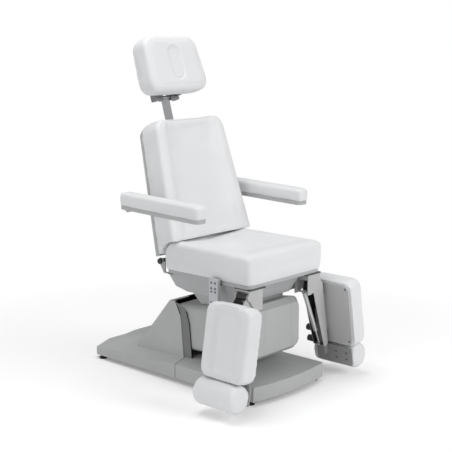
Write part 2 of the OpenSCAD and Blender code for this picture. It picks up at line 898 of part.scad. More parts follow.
// The skirt between the lift cover and the seat tray
module turret_cover() {
    outer = [[-turret_front, cover_high(-turret_front) + rest_gap],
        [-turret_foot, cover_high(-turret_foot) + rest_gap], [turret_back, turret_top],
        [-turret_front, turret_top]];
    inner = [[-turret_front + wall, 0], [-turret_foot - 2 * wall, 0],
        [-turret_foot - 2 * wall, cover_high(-turret_foot)], [turret_back - 2 * wall, turret_top + over],
        [-turret_front + wall, turret_top + over]];
    color("silver") difference() {
        side_plate(outer, 2 * turret_half_w);
        side_plate(inner, 2 * (turret_half_w - wall));
    }
}

// An actuator's body points along +Z from its eye at the origin
module jack_body(r, rod_r, start, end, pin_r) {
    difference() {
        union() {
            translate([0, 0, start]) cylinder(h = end - start, r = r);
            along_x(jack_eye_r, jack_eye_w);
            block(-jack_eye_w / 2, jack_eye_w / 2, -jack_eye_r / 2, jack_eye_r / 2, 0, start + over);
        }
        along_x(pin_r + run_gap, jack_eye_w + 2 * over);
        translate([0, 0, start + r]) cylinder(h = end, r = rod_r + run_gap);
    }
}

module jack_rod(rod_r, start, end, eye_w) {
    translate([0, 0, start]) cylinder(h = end - start - rod_r, r = rod_r);
    translate([0, 0, end]) difference() {
        along_x(rod_r * eye_share, eye_w);
        along_x(rod_r * eye_hole_share, eye_w + 2 * over);
    }
}

module tilt_actuator() {
    color("black") translate([0, jack_y, jack_low_z])
        jack_body(jack_r, jack_rod_r, jack_eye_r, jack_body_top - jack_low_z, jack_pin_r);
}

module tilt_actuator_rod() {
    color("lightgray") translate([0, jack_y, jack_low_z])
        jack_rod(jack_rod_r, jack_eye_r + jack_r + 2 * over, jack_high_z - jack_low_z, jack_eye_w / 2);
}

// How far ahead of the origin the tray's front wall lies at a height
function tray_front(z) = tray_low_front
    + (tray_high_front - tray_low_front) * (z - tray_z - tray_bevel_h) / (rim_z - tray_z - tray_bevel_h);

// Seat frame: two rails, cross tubes, corner plates for the leg rests, lugs
// for the tilt pin, the actuators and the back, and the handset's hook
module corner_plates() {
    edge = -swivel_y - bracket_in - cheek_t;
    far_edge = -swivel_y + bracket_in + cheek_t;
    far_x = swivel_x + bracket_out - over;
    outline = [[seat_rail_x, -swivel_y], [recess_x + wall, -swivel_y], [recess_x + 2 * wall, edge],
        [far_x, edge], [far_x, far_edge], [seat_rail_x, far_edge]];
    both_sides() difference() {
        translate([0, 0, plate_z]) linear_extrude(plate_t) polygon(outline);
        translate([swivel_x, -swivel_y, plate_z - over])
            cylinder(h = plate_t + 2 * over, r = swivel_r + run_gap);
    }
}

module seat_frame() {
    rear_y = rear_plate_y;
    front_y = 2 * wall - tray_front(seat_rail_z);
    rear_tube_z = seat_rail_z - seat_rail_h + over;
    tilt_lug = [[tilt_y - tilt_lug_half, plate_z], [tilt_y + tilt_lug_half, plate_z],
        [tilt_y + lug_neck, tilt_z], [tilt_y - lug_neck, tilt_z]];
    lug_y = seat_rear + side_gap;
    back_lug = [[rear_y, plate_z], [lug_y + hinge_pin_r, plate_z],
        [hinge_y + hinge_pin_r, hinge_z - hinge_pin_r], [hinge_y, hinge_z], [lug_y, hinge_z],
        [lug_y, plate_z + plate_t], [rear_y, plate_z + plate_t]];
    fork_lug = [[jack_y - jack_eye_r, jack_high_z - jack_eye_r], [brace_y + over, seat_rail_z],
        [brace_y + over, plate_z], [jack_y - jack_eye_r, plate_z]];
    back_fork = [[back_jack_y + jack_eye_r, back_jack_z - jack_eye_r],
        [back_jack_y + jack_eye_r, plate_z], [brace_y + over, plate_z], [brace_y + over, seat_rail_z]];
    hook_y = -handset_y;
    hook_x = handset_x - rest_gap;
    color("dimgray") {
        difference() {
            union() {
                both_sides() block(seat_rail_x, seat_rail_x + seat_rail_w, front_y, rear_y + brace_w,
                    seat_rail_z, plate_z);
                block(-seat_rail_x - over, seat_rail_x + over, brace_y, brace_y + brace_w,
                    seat_rail_z, plate_z);
                block(-seat_rail_x - over, seat_rail_x + over, rear_y, rear_y + brace_w,
                    rear_tube_z, seat_rail_z + over);
                both_sides() block(seat_rail_x, seat_rail_x + seat_rail_w, rear_y, rear_y + brace_w,
                    rear_tube_z, seat_rail_z + over);
                both_sides() translate([lug_x + lug_t + side_gap, 0, 0]) {
                    side_plate(tilt_lug, lug_t);
                    translate([0, tilt_y, tilt_z]) along_x(lug_r, lug_t);
                }
                both_sides() block(seat_rail_x, hinge_lug_x + hinge_lug_w, rear_y, rear_y + brace_w,
                    plate_z, plate_z + plate_t);
                both_sides() translate([hinge_lug_x + hinge_lug_w / 2, 0, 0]) {
                    side_plate(back_lug, hinge_lug_w);
                    translate([0, hinge_y, hinge_z]) along_x(hinge_lug_r, hinge_lug_w);
                }
                both_sides() translate([jack_eye_w / 2 + over + fork_t / 2, 0, 0]) {
                    side_plate(fork_lug, fork_t);
                    side_plate(back_fork, fork_t);
                }
                block(-hook_x + hook_t, -seat_rail_x, hook_y - hook_w / 2, hook_y + hook_w / 2,
                    plate_z, plate_z + plate_t);
                block(-hook_x, -hook_x + hook_t, hook_y - hook_w / 2, hook_y + hook_w / 2,
                    handset_top - handset_h / 2, plate_z + plate_t);
                translate([-hook_x - peg_len / 2, hook_y, handset_top - handset_h / 4])
                    along_x(peg_r, peg_len + hook_t);
            }
            translate([0, tilt_y, tilt_z]) along_x(tilt_pin_r + run_gap, beyond);
            translate([0, hinge_y, hinge_z]) along_x(hinge_pin_r, beyond);
        }
        corner_plates();
        translate([0, back_jack_y, back_jack_z]) along_x(jack_pin_r, jack_eye_w + 2 * (2 * over + fork_t));
    }
}

// A bar with round ends between two points given in Y and Z
module link_bar(p, q, r, t) {
    d = q - p;
    rotate([90, 0, 90]) translate([0, 0, -t / 2]) linear_extrude(t) {
        translate(p) circle(r = r);
        translate(q) circle(r = r);
        translate(p) rotate(atan2(d[1], d[0])) translate([0, -r * neck_share])
            square([norm(d), 2 * r * neck_share]);
    }
}

// Seat tray: a thin tub with a board on top that carries the cushion
module tray_tub(inset) {
    low = tray_z + inset;
    mid = tray_z + tray_bevel_h;
    mid_w = tray_low_half_w + (tray_high_half_w - tray_low_half_w) * tray_bevel_h / (rim_z - tray_z);
    rear = seat_rear - tray_rear_inset;
    hull() {
        block(inset - tray_high_half_w, tray_high_half_w - inset, inset - tray_high_front,
            rear - inset, rim_z - skin + sign(inset) * over, rim_z + sign(inset) * over);
        block(inset - mid_w, mid_w - inset, inset - tray_low_front, rear - tray_bevel_h - inset,
            mid, mid + skin);
        block(inset - tray_low_half_w, tray_low_half_w - inset, inset - tray_low_front,
            tilt_y - lug_t - inset, low, low + skin);
    }
}

module tray_notches(grow) {
    both_sides() block(recess_x - grow, beyond, -beyond, grow - recess_y, 0, rim_z - sign(grow) * wall);
}

module seat_board() {
    half = seat_w / 2 - rim_inset;
    front = seat_front - rim_inset;
    rear = seat_rear - rim_inset;
    translate([0, (rear - front) / 2, rim_z]) linear_extrude(rim_h) difference() {
        round_square(2 * half, front + rear, rim_r);
        translate([0, (front + rear) / 2]) square([2 * back_slot, 2 * back_slot], center = true);
    }
}

module seat_tray() {
    opening = lug_x + 2 * lug_t + side_gap;
    plate_y = swivel_y - bracket_in - cheek_t;
    hinge_y0 = rear_plate_y - side_gap;
    hook_y = -handset_y;
    color("silver") {
        seat_board();
        difference() {
            tray_tub(0);
            tray_notches(0);
            difference() {
                tray_tub(wall);
                tray_notches(wall);
            }
            block(-opening, opening, jack_y - jack_slot, turret_back - side_gap, tray_z - over,
                tray_z + tray_bevel_h);
            block(-back_slot, back_slot, 0, beyond, back_jack_z + jack_eye_r, beyond);
            both_sides() block(recess_x - 2 * wall, recess_x + wall, -swivel_y - side_gap,
                side_gap - plate_y, plate_z - side_gap, rim_z + over);
            both_sides() block(recess_x - 2 * wall, tray_high_half_w, -recess_y - wall,
                side_gap - plate_y, plate_z - side_gap, rim_z - skin);
            both_sides() block(recess_x, beyond, hinge_y0, beyond, plate_z - side_gap, rim_z + skin);
            block(-beyond, -recess_x, hook_y - hook_w / 2 - side_gap, hook_y + hook_w / 2 + side_gap,
                plate_z - side_gap, rim_z + skin);
        }
    }
}

module seat_cushion() {
    color("white") translate([0, seat_rear, seat_z]) rotate([0, 0, 180])
        cushion(seat_w, seat_w, seat_front + seat_rear, seat_h, seat_edge, draw_in, seat_corner, 1,
            seat_dish, 1, seat_heel, seat_heel);
}

// Backrest
module in_back() {
    translate([0, hinge_y, hinge_z]) rotate([-back_lean, 0, 0]) children();
}

module back_hinge_pins() {
    color("black") both_sides() translate([0, hinge_y, hinge_z]) {
        translate([(hinge_pin_in + hinge_lug_x + hinge_lug_w + hinge_cap_t) / 2, 0, 0])
            along_x(hinge_pin_r, hinge_lug_x + hinge_lug_w + hinge_cap_t - hinge_pin_in);
        translate([hinge_lug_x + hinge_lug_w + rest_gap + hinge_cap_t / 2, 0, 0])
            along_x(hinge_cap_r, hinge_cap_t);
    }
}

module at_back_jack() {
    translate([0, back_jack_y, back_jack_z]) rotate([back_jack_angle - 90, 0, 0]) children();
}

module back_actuator() {
    color("black") at_back_jack()
        jack_body(back_jack_r, back_jack_rod_r, jack_neck, back_jack_body, jack_pin_r);
}

module back_actuator_rod() {
    color("lightgray") at_back_jack()
        jack_rod(back_jack_rod_r, back_jack_start, back_jack_len, jack_eye_w);
}

module back_frame() {
    v = -bar_y;
    low = back_start + plate_t;
    socket = guide_wall + slide_gap;
    fork_x = jack_eye_w / 2 + over + fork_t / 2;
    tube_half = hinge_lug_x - hinge_gap;
    color("dimgray") difference() {
        union() {
            translate([0, hinge_y, hinge_z]) along_x(hinge_tube_r, 2 * tube_half);
            both_sides() translate([fork_x, 0, 0])
                link_bar([hinge_y, hinge_z], [crank_y, crank_z], jack_eye_r, fork_t);
            in_back() {
                both_sides() block(upright_x - upright_w / 2, upright_x + upright_w / 2,
                    bar_y - upright_t / 2, bar_y + upright_t / 2, 0, upright_top);
                both_sides() for (u = [brace_low, stand_top - upright_w]) {
                    block(upright_x - upright_w / 2, upright_x + upright_w / 2, rest_gap - back_off,
                        rear_cover_d - back_off, u, u + upright_w);
                }
                for (u = [brace_low, guide_low + side_gap, upright_top - upright_w]) {
                    difference() {
                        block(-upright_x, upright_x, bar_y - upright_t / 2, bar_y + upright_t / 2,
                            u, u + upright_w);
                        block(-bar_w / 2 - side_gap, bar_w / 2 + side_gap, bar_y - upright_t,
                            bar_y + upright_t, guide_low, back_top);
                    }
                }
                difference() {
                    block(-bar_w / 2 - socket, bar_w / 2 + socket, bar_y - bar_t / 2 - guide_wall,
                        bar_y + bar_t / 2 + guide_wall, guide_low, guide_low + guide_len);
                    block(-bar_w / 2 - slide_gap, bar_w / 2 + slide_gap, bar_y - bar_t / 2 - slide_gap,
                        bar_y + bar_t / 2 + slide_gap, guide_low - over, guide_low + guide_len + over);
                }
            }
            both_sides() translate([(upright_x + arm_spindle_end) / 2, arm_y, arm_axis_z])
                along_x(arm_spindle_r, arm_spindle_end - upright_x);
        }
        both_sides() translate([tube_half, hinge_y, hinge_z])
            along_x(hinge_pin_r + run_gap, 2 * (tube_half - hinge_pin_in + over));
    }
}

// A slab with round top corners, narrowing from the hinge to the top
module back_slab(inset, v0, v1, grow) {
    half0 = back_low_w / 2 - inset;
    half1 = back_high_w / 2 - inset;
    r = back_corner_r - inset;
    top = back_top - inset;
    for (s = [-1, 1]) {
        translate([s * (half1 - r), -v0, top - r]) rotate([90, 0, 0])
            cylinder(h = v1 - v0, r = r, $fn = hull_fn);
    }
    block(-half0, half0, -v1, -v0, back_start - grow, back_start - grow + over);
}

module back_rear_cover() {
    front = back_off - rest_gap;
    bar_half = bar_w / 2 + side_gap;
    color("silver") in_back() difference() {
        hull() {
            back_slab(rear_cover_inset, front - rear_cover_d / 2, front, 0);
            back_slab(2 * rear_cover_inset, front - rear_cover_d - wall, front - rear_cover_d, 0);
        }
        hull() {
            back_slab(rear_cover_inset + wall, front - rear_cover_d / 2, front + over, 2 * over);
            back_slab(2 * rear_cover_inset + wall, front - rear_cover_d, front - rear_cover_d + over,
                2 * over);
        }
        block(-bar_half, bar_half, bar_y - bar_t / 2 - side_gap, beyond, back_top - back_corner_r / 2,
            bar_top);
        translate([0, bar_y, arm_u]) along_x(arm_spindle_r + side_gap, beyond);
    }
}

module back_cushion() {
    heel_y = seat_rear - seat_heel;
    heel_z = seat_z + seat_h - seat_heel;
    color("white") difference() {
        in_back() translate([0, -back_off, back_start]) rotate([90, 0, 0]) cushion(back_low_w, back_high_w,
            back_len, back_t, back_edge, draw_in, back_corner, back_low_share, back_dish, 0, 0, 0);
        translate([0, heel_y, heel_z]) along_x(seat_heel + heel_gap, beyond);
        block(-beyond, beyond, -beyond, heel_y, seat_z, seat_z + seat_h + heel_gap);
    }
}

// Headrest
module headrest_bar() {
    eye_r = head_pin_r + guide_wall;
    eye_u = bar_top - eye_r;
    color("silver") in_back() difference() {
        union() {
            block(-bar_w / 2, bar_w / 2, bar_y - bar_t / 2, bar_y + bar_t / 2, bar_top - bar_len, eye_u);
            translate([0, bar_y, eye_u]) along_x(eye_r, bar_w);
        }
        translate([0, bar_y, eye_u]) along_x(head_pin_r + run_gap, 2 * bar_w);
    }
}

// The headrest's own axes: Y back and Z up along its leaning face
module at_head() {
    u = bar_top - head_pin_r - guide_wall;
    translate([0, hinge_y + u * sin(back_lean) + bar_y * cos(back_lean),
        hinge_z + u * cos(back_lean) - bar_y * sin(back_lean)]) rotate([-head_lean, 0, 0]) children();
}

module headrest_bracket() {
    half = head_crossbar / 2;
    inner = bar_w / 2 + side_gap;
    plate = head_off - rest_gap;
    color("dimgray") at_head() {
        along_x(head_pin_r, 2 * half);
        both_sides() {
            difference() {
                block(inner, half, -head_crossbar_h / 2, head_crossbar_h / 2, -head_crossbar_h / 2,
                    head_crossbar_h / 2);
                block(inner + guide_wall, half - head_block_w, 0, head_crossbar_h, -head_crossbar_h,
                    head_crossbar_h);
            }
            block(half - head_block_w, half, -plate, 0, 0, head_crossbar_h + head_block_w);
        }
        block(-half, half, -plate, head_plate_t - plate, head_plate_t, head_plate_h);
    }
}

module headrest_cushion() {
    color("white") at_head() translate([0, -head_off, head_start]) rotate([90, 0, 0]) difference() {
        cushion(head_low_w, head_high_w, head_len, head_t, head_edge, draw_in, head_corner, 1, 0, 0, 0, 0);
        translate([0, head_len / 2, head_t]) hull() {
            for (s = [-1, 1]) {
                translate([0, s * (oval_len / 2 - oval_r), -oval_depth]) cylinder(h = 2 * oval_depth,
                    r1 = oval_r - oval_depth, r2 = oval_r + oval_depth, $fn = oval_fn);
            }
        }
    }
}

// Armrests. Each lies along Y in front of and behind its spindle.
module at_arm() {
    translate([arm_x + arm_w / 2, arm_y, arm_axis_z]) rotate([arm_droop, 0, 0])
        translate([0, -(arm_front - arm_rear + 2 * arm_y) / 2, arm_low]) children();
}

module armrest_shell() {
    color("silver") difference() {
        union() {
            at_arm() linear_extrude(arm_shell_h)
                round_square(arm_w - 2 * arm_lip, arm_len - 2 * arm_lip, arm_end_r);
            translate([arm_hub_in + arm_hub_w / 2 + over, arm_y, arm_axis_z]) along_x(arm_hub_r, arm_hub_w);
            translate([arm_x + arm_w / 2, arm_y, arm_axis_z]) along_x(arm_hub_r, arm_w - 4 * arm_lip);
        }
        at_arm() translate([0, 0, arm_shell_h]) linear_extrude(arm_shell_h)
            square(beyond, center = true);
        translate([(arm_hub_in + arm_spindle_end) / 2, arm_y, arm_axis_z])
            along_x(arm_spindle_r + run_gap, arm_spindle_end - arm_hub_in + 2 * over);
    }
}

module armrest_pad() {
    color("white") at_arm() translate([0, -arm_len / 2, arm_shell_h + rest_gap])
        cushion(arm_w, arm_w, arm_len, arm_pad_h, arm_edge, draw_in / 2, arm_end_r, 1, 0, 0, 0, 0);
}

module left_armrest_shell() {
    armrest_shell();
}

module right_armrest_shell() {
    mirror([1, 0, 0]) armrest_shell();
}

module left_armrest_pad() {
    armrest_pad();
}

module right_armrest_pad() {
    mirror([1, 0, 0]) armrest_pad();
}

// Leg rests, drawn for the sitter's left. Inside at_leg, X points outward
// from the leg and -Z runs down along it.
module at_leg() {
    translate([raise_x, leg_y, raise_z]) rotate([0, -leg_lean, 0]) children();
}

module swivel_bracket() {
    outline_top = bracket_top;
    left = swivel_x - bracket_in;
    right = swivel_x + bracket_out;
    color("silver") {
        for (s = [-1, 1]) {
            translate([0, leg_y + s * (cheek_y + cheek_t / 2), 0]) rotate([90, 0, 0])
                translate([0, 0, -cheek_t / 2]) linear_extrude(cheek_t) difference() {
                    union() {
                        intersection() {
                            translate([cheek_x, cheek_z]) circle(r = cheek_r);
                            translate([left, 0]) square([beyond, outline_top]);
                        }
                        translate([raise_x, raise_z]) circle(r = raise_boss_r);
                    }
                }
        }
        block(left, right, leg_y - cheek_y - cheek_t, leg_y + cheek_y + cheek_t,
            bracket_top - bracket_t, bracket_top);
        translate([swivel_x, leg_y, bracket_top - bracket_t / 2])
            cylinder(h = rim_z - rest_gap - bracket_top + bracket_t / 2, r = swivel_r);
        translate([swivel_x, leg_y, bracket_top - bracket_t - nut_h / 2])
            cylinder(h = nut_h / 2 + over, r = 2 * swivel_r);
        translate([raise_x, leg_y, raise_z]) along_y(raise_pin_r, 2 * cheek_y + over);
        translate([gas_top_x, leg_y, gas_top_z]) along_y(gas_pin_r, 2 * cheek_y + over);
        block(left, left + cheek_t, leg_y - cheek_y - over, leg_y + cheek_y + over,
            bracket_top - bracket_t - nut_h, bracket_top - bracket_t + over);
    }
}

// The channel-shaped arm between the raising pin and the foot bar
module leg_arm() {
    half = leg_arm_w / 2;
    boss = raise_boss_r + over;
    tip = leg_arm_len - leg_tip_r;
    side = [[0, boss], [leg_web, -leg_shoulder], [leg_web, -tip], [leg_tip_n, -tip - leg_tip_r],
        [-leg_heel, leg_tip_n - tip], [-leg_belly, -leg_belly - leg_plate_t],
        [-boss, 0]];
    color("lightgray") at_leg() difference() {
        union() {
            for (s = [-1, 1]) {
                translate([0, s * (half - leg_plate_t / 2), 0]) rotate([90, 0, 0])
                    translate([0, 0, -leg_plate_t / 2]) linear_extrude(leg_plate_t) {
                        polygon(side);
                        circle(r = boss);
                        translate([leg_tip_n, -tip]) circle(r = leg_tip_r);
                    }
            }
            block(leg_web - web_t, leg_web, -half, half, -tip, -leg_shoulder);
            along_y(boss, leg_arm_w);
            for (s = [-1, 1]) {
                translate([gas_low_n, s * (half + gas_eye_w / 2 + side_gap) / 2, -gas_low_d])
                    along_y(gas_pin_r, half - gas_eye_w / 2 - side_gap);
            }
        }
        along_y(raise_pin_r + run_gap, leg_arm_w + 2 * over);
        for (share = knob_shares) {
            translate([knob_n, half, -leg_arm_len * share])
                along_y(knob_shaft_r + run_gap, 2 * leg_plate_t + over);
        }
    }
}

module calf_plate() {
    low = -calf_drop - calf_len + calf_plate_inset;
    top = -calf_drop - calf_plate_inset;
    half = calf_w / 2 - calf_plate_inset;
    color("silver") at_leg() {
        translate([calf_off - calf_plate_t, -calf_shift, (low + top) / 2]) rotate([90, 0, 90])
            linear_extrude(calf_plate_t) round_square(2 * half, top - low, 2 * calf_plate_inset);
        block(leg_web + rest_gap / 2, calf_off - calf_plate_t + over, -foot_bar_w / 2, foot_bar_w / 2,
            -gas_low_d + leg_arm_w, top - leg_arm_w);
    }
}

module calf_pad() {
    color("white") at_leg() translate([calf_off + rest_gap, -calf_shift, -calf_drop - calf_len])
        rotate([90, 0, 90]) cushion(calf_w, calf_w, calf_len, calf_t, calf_edge, draw_in, calf_corner, 1,
            calf_dish, 0, 0, 0);
}

module at_gas() {
    low = [raise_x + gas_low_d * sin(leg_lean) + gas_low_n * cos(leg_lean),
        raise_z - gas_low_d * cos(leg_lean) + gas_low_n * sin(leg_lean)];
    d = low - [gas_top_x, gas_top_z];
    translate([gas_top_x, leg_y, gas_top_z]) rotate([0, atan2(-d[0], -d[1]), 0]) children();
}

function gas_len() = norm([raise_x + gas_low_d * sin(leg_lean) + gas_low_n * cos(leg_lean) - gas_top_x,
    raise_z - gas_low_d * cos(leg_lean) + gas_low_n * sin(leg_lean) - gas_top_z]);

module gas_cylinder() {
    end = gas_len() * gas_body_share;
    color("black") at_gas() difference() {
        union() {
            along_y(gas_eye_r, gas_eye_w);
            translate([0, 0, -end]) cylinder(h = end - gas_eye_r / 2, r = gas_r);
        }
        along_y(gas_pin_r + run_gap, gas_eye_w + 2 * gas_r);
        translate([0, 0, -end - over]) cylinder(h = end - gas_eye_r - gas_r, r = gas_rod_r + run_gap);
    }
}

module gas_rod() {
    color("lightgray") at_gas() {
        translate([0, 0, -gas_len() + gas_rod_r])
            cylinder(h = gas_len() - gas_eye_r - 3 * gas_r, r = gas_rod_r);
        translate([0, 0, -gas_len()]) difference() {
            along_y(gas_eye_r - over, gas_eye_w);
            along_y(gas_pin_r + side_gap, gas_eye_w + 2 * over);
        }
    }
}

module foot_bar() {
    n0 = bar_off - foot_bar_t;
    turn = leg_arm_len + foot_bar_t;
    plate_n = foot_back_off - foot_plate_t - rest_gap;
    half = foot_plate_w / 2;
    color("silver") at_leg() {
        block(n0, bar_off, -foot_bar_w / 2, foot_bar_w / 2, -turn - foot_bar_w, -foot_bar_top);
        block(bar_off - over, plate_n + over, -foot_bar_w / 2, foot_bar_w / 2, -turn - foot_bar_w, -turn);
        translate([plate_n, -calf_shift, -(foot_plate_top + foot_plate_low) / 2]) rotate([90, 0, 90])
            linear_extrude(foot_plate_t) round_square(2 * half, foot_plate_low - foot_plate_top, foot_bar_t);
    }
}

// A round roll with soft ends, cut flat where it is screwed to its plate
module foot_pad() {
    edge = foot_pad_r / 3;
    half = foot_pad_len / 2;
    color("white") at_leg() difference() {
        translate([foot_pad_off, -foot_pad_shift, -leg_arm_len - foot_pad_drop]) rotate([90, 0, 0])
            rotate_extrude() difference() {
                round_square(2 * foot_pad_r, 2 * half, edge);
                translate([-beyond, -beyond / 2]) square(beyond);
            }
        block(-beyond, foot_back_off, -beyond, beyond, -beyond, beyond);
    }
}

module knob_at(share) {
    neck_y = leg_arm_w / 2 + side_gap / 2;
    head_y = neck_y + knob_neck;
    color("black") at_leg() translate([knob_n, 0, -leg_arm_len * share]) rotate([-90, 0, 0]) {
        translate([0, 0, foot_bar_w / 2 + rest_gap]) cylinder(h = head_y - foot_bar_w / 2, r = knob_shaft_r);
        translate([0, 0, neck_y]) cylinder(h = knob_neck, r = 2 * knob_shaft_r);
        translate([0, 0, head_y - skin]) cylinder(h = knob_len, r = knob_r);
    }
}

module upper_knob() {
    knob_at(knob_shares[0]);
}

module lower_knob() {
    knob_at(knob_shares[1]);
}

// Handset on its hook
module button_place(row, col) {
    translate([-handset_x - handset_t, -handset_y + (col - 0.5) * button_pitch,
        handset_top - handset_h * (1 - button_rows_share[row])]) children();
}

module handset() {
    peg_z = handset_top - handset_h / 4;
    slot_half = peg_r + rest_gap;
    color("lightgray") difference() {
        translate([-handset_x - handset_t, -handset_y, handset_top - handset_h / 2]) rotate([90, 0, 90])
            linear_extrude(handset_t) round_square(handset_w, handset_h, button_r);
        block(-handset_x - peg_len - side_gap, -handset_x + over, -handset_y - slot_half,
            -handset_y + slot_half, peg_z - slot_len, peg_z + slot_half);
        for (row = [0 : len(button_rows_share) - 1], col = [0, 1]) {
            button_place(row, col) along_x(button_r + run_gap, 2 * (button_len + button_travel));
        }
    }
}

module button(i) {
    color("dimgray") button_place(floor(i / 2), i % 2)
        translate([button_len / 2 - button_out, 0, 0]) along_x(button_r, button_len);
}

module button_1() {
    button(0);
}

module button_2() {
    button(1);
}

module button_3() {
    button(2);
}

module button_4() {
    button(3);
}

module button_5() {
    button(4);
}

module button_6() {
    button(5);
}

module button_7() {
    button(6);
}

module button_8() {
    button(7);
}

// The same pieces under the name of their side
module left_swivel_bracket() {
    swivel_bracket();
}

module right_swivel_bracket() {
    mirror([1, 0, 0]) swivel_bracket();
}

module left_leg_arm() {
    leg_arm();
}

module right_leg_arm() {
    mirror([1, 0, 0]) leg_arm();
}

module left_calf_plate() {
    calf_plate();
}

module right_calf_plate() {
    mirror([1, 0, 0]) calf_plate();
}

module left_calf_pad() {
    calf_pad();
}

module right_calf_pad() {
    mirror([1, 0, 0]) calf_pad();
}

module left_gas_cylinder() {
    gas_cylinder();
}

module right_gas_cylinder() {
    mirror([1, 0, 0]) gas_cylinder();
}

module left_gas_rod() {
    gas_rod();
}

module right_gas_rod() {
    mirror([1, 0, 0]) gas_rod();
}

module left_foot_bar() {
    foot_bar();
}

module right_foot_bar() {
    mirror([1, 0, 0]) foot_bar();
}

module left_foot_pad() {
    foot_pad();
}

module right_foot_pad() {
    mirror([1, 0, 0]) foot_pad();
}

module left_upper_knob() {
    upper_knob();
}

module right_upper_knob() {
    mirror([1, 0, 0]) upper_knob();
}

module left_lower_knob() {
    lower_knob();
}

module right_lower_knob() {
    mirror([1, 0, 0]) lower_knob();
}

base_front_cover();
base_rear_cover();
lift_hood();
base_frame();
levelling_feet();
column_outer_tube();
lift_motor();
column_middle_tube();
column_inner_tube();
lift_carriage();
lift_cover();
lift_cover_ends();
turret_cover();
tilt_actuator();
tilt_actuator_rod();
seat_frame();
seat_tray();
seat_cushion();
back_hinge_pins();
back_actuator();
back_actuator_rod();
back_frame();
back_rear_cover();
back_cushion();
headrest_bar();
headrest_bracket();
headrest_cushion();
left_armrest_shell();
left_armrest_pad();
right_armrest_shell();
right_armrest_pad();
handset();
button_1();
button_2();
button_3();
button_4();
button_5();
button_6();
button_7();
button_8();
left_swivel_bracket();
left_leg_arm();
left_calf_plate();
left_calf_pad();
left_gas_cylinder();
left_gas_rod();
left_foot_bar();
left_foot_pad();
left_upper_knob();
left_lower_knob();
right_swivel_bracket();
right_leg_arm();
right_calf_plate();
right_calf_pad();
right_gas_cylinder();
right_gas_rod();
right_foot_bar();
right_foot_pad();
right_upper_knob();
right_lower_knob();
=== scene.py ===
import json
import math

import bmesh
import bpy
import numpy as np
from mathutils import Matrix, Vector


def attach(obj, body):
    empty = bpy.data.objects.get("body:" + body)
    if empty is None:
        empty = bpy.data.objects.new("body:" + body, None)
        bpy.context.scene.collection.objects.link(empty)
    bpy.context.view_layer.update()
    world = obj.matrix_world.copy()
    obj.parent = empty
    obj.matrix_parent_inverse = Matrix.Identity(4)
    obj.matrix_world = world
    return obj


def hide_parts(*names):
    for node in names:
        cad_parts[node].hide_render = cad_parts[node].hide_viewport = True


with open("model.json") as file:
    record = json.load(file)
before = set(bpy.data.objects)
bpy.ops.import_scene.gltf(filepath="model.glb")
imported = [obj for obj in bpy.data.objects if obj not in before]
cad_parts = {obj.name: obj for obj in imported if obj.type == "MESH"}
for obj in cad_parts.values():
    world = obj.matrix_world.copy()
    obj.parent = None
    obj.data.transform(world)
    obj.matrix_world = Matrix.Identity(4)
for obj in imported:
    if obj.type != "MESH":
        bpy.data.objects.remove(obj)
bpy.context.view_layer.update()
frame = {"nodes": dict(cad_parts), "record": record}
scene = bpy.context.scene
bodyOf = {node: body for body, nodes in frame["record"]["behaviour"]["bodies"].items() for node in nodes}
print("frame loaded,", len(bodyOf), "nodes")


# A mesh object at the origin, its place in its vertices
def newPiece(name, points, faces, material, smooth=True):
    mesh = bpy.data.meshes.new(name)
    mesh.from_pydata(np.asarray(points, float).tolist(), [], [list(map(int, f)) for f in faces])
    mesh.update()
    piece = bpy.data.objects.new(name, mesh)
    scene.collection.objects.link(piece)
    mesh.materials.append(material)
    mesh.polygons.foreach_set("use_smooth", np.full(len(mesh.polygons), smooth))
    return piece


def pointsOf(mesh):
    points = np.empty(len(mesh.vertices) * 3)
    mesh.vertices.foreach_get("co", points)
    return points.reshape(-1, 3)


def normalsOf(mesh):
    normals = np.empty(len(mesh.vertices) * 3)
    mesh.vertex_normals.foreach_get("vector", normals)
    return normals.reshape(-1, 3)


# A smooth step from 0 to 1 between two bounds
def easeStep(value, low, high):
    part = np.clip((value - low) / (high - low), 0, 1)
    return part * part * (3 - 2 * part)


cellsPerMetre = 2e4  # points in one cell are one point


# A CAD node's points and triangles with its doubled points merged
def welded(node):
    mesh = frame["nodes"][node].data
    points = pointsOf(mesh)
    corners = np.empty(len(mesh.loops), np.int32)
    mesh.loops.foreach_get("vertex_index", corners)
    grid = np.round(points * cellsPerMetre).astype(np.int64)
    first, inverse = np.unique(grid, axis=0, return_index=True, return_inverse=True)[1:]
    faces = inverse.reshape(-1)[corners].reshape(-1, 3)
    whole = (faces[:, 0] != faces[:, 1]) & (faces[:, 1] != faces[:, 2]) & (faces[:, 0] != faces[:, 2])
    return points[first], faces[whole]


# The mesh that a piece's modifiers give, put in place of the old one
def bakeModifiers(piece):
    graph = bpy.context.evaluated_depsgraph_get()
    mesh = bpy.data.meshes.new_from_object(piece.evaluated_get(graph))
    piece.modifiers.clear()
    old = piece.data
    piece.data = mesh
    mesh.name = piece.name
    bpy.data.meshes.remove(old)


# Finishes. Every one reads Object coordinates, so its pattern stays on the piece.
# The spans are the parts of a pattern's range that a tone or a height runs over.
noiseSpan, cloudSpan = (0.3, 0.7), (0.35, 0.65)
speckSpan, pitSpan, grainSpan = (0, 0.12), (0, 0.18), (0, 0.25)


def newMaterial(name, values):
    material = bpy.data.materials.new(name)
    material.use_nodes = True
    tree = material.node_tree
    shader = tree.nodes["Principled BSDF"]
    shader.inputs["Metallic"].default_value = values.get("metallic", 0)
    shader.inputs["IOR"].default_value = values.get("ior", 1.46)
    shader.inputs["Specular IOR Level"].default_value = values.get("specular", 0.5)
    coords = tree.nodes.new("ShaderNodeTexCoord")
    return material, tree, shader, coords.outputs["Object"]


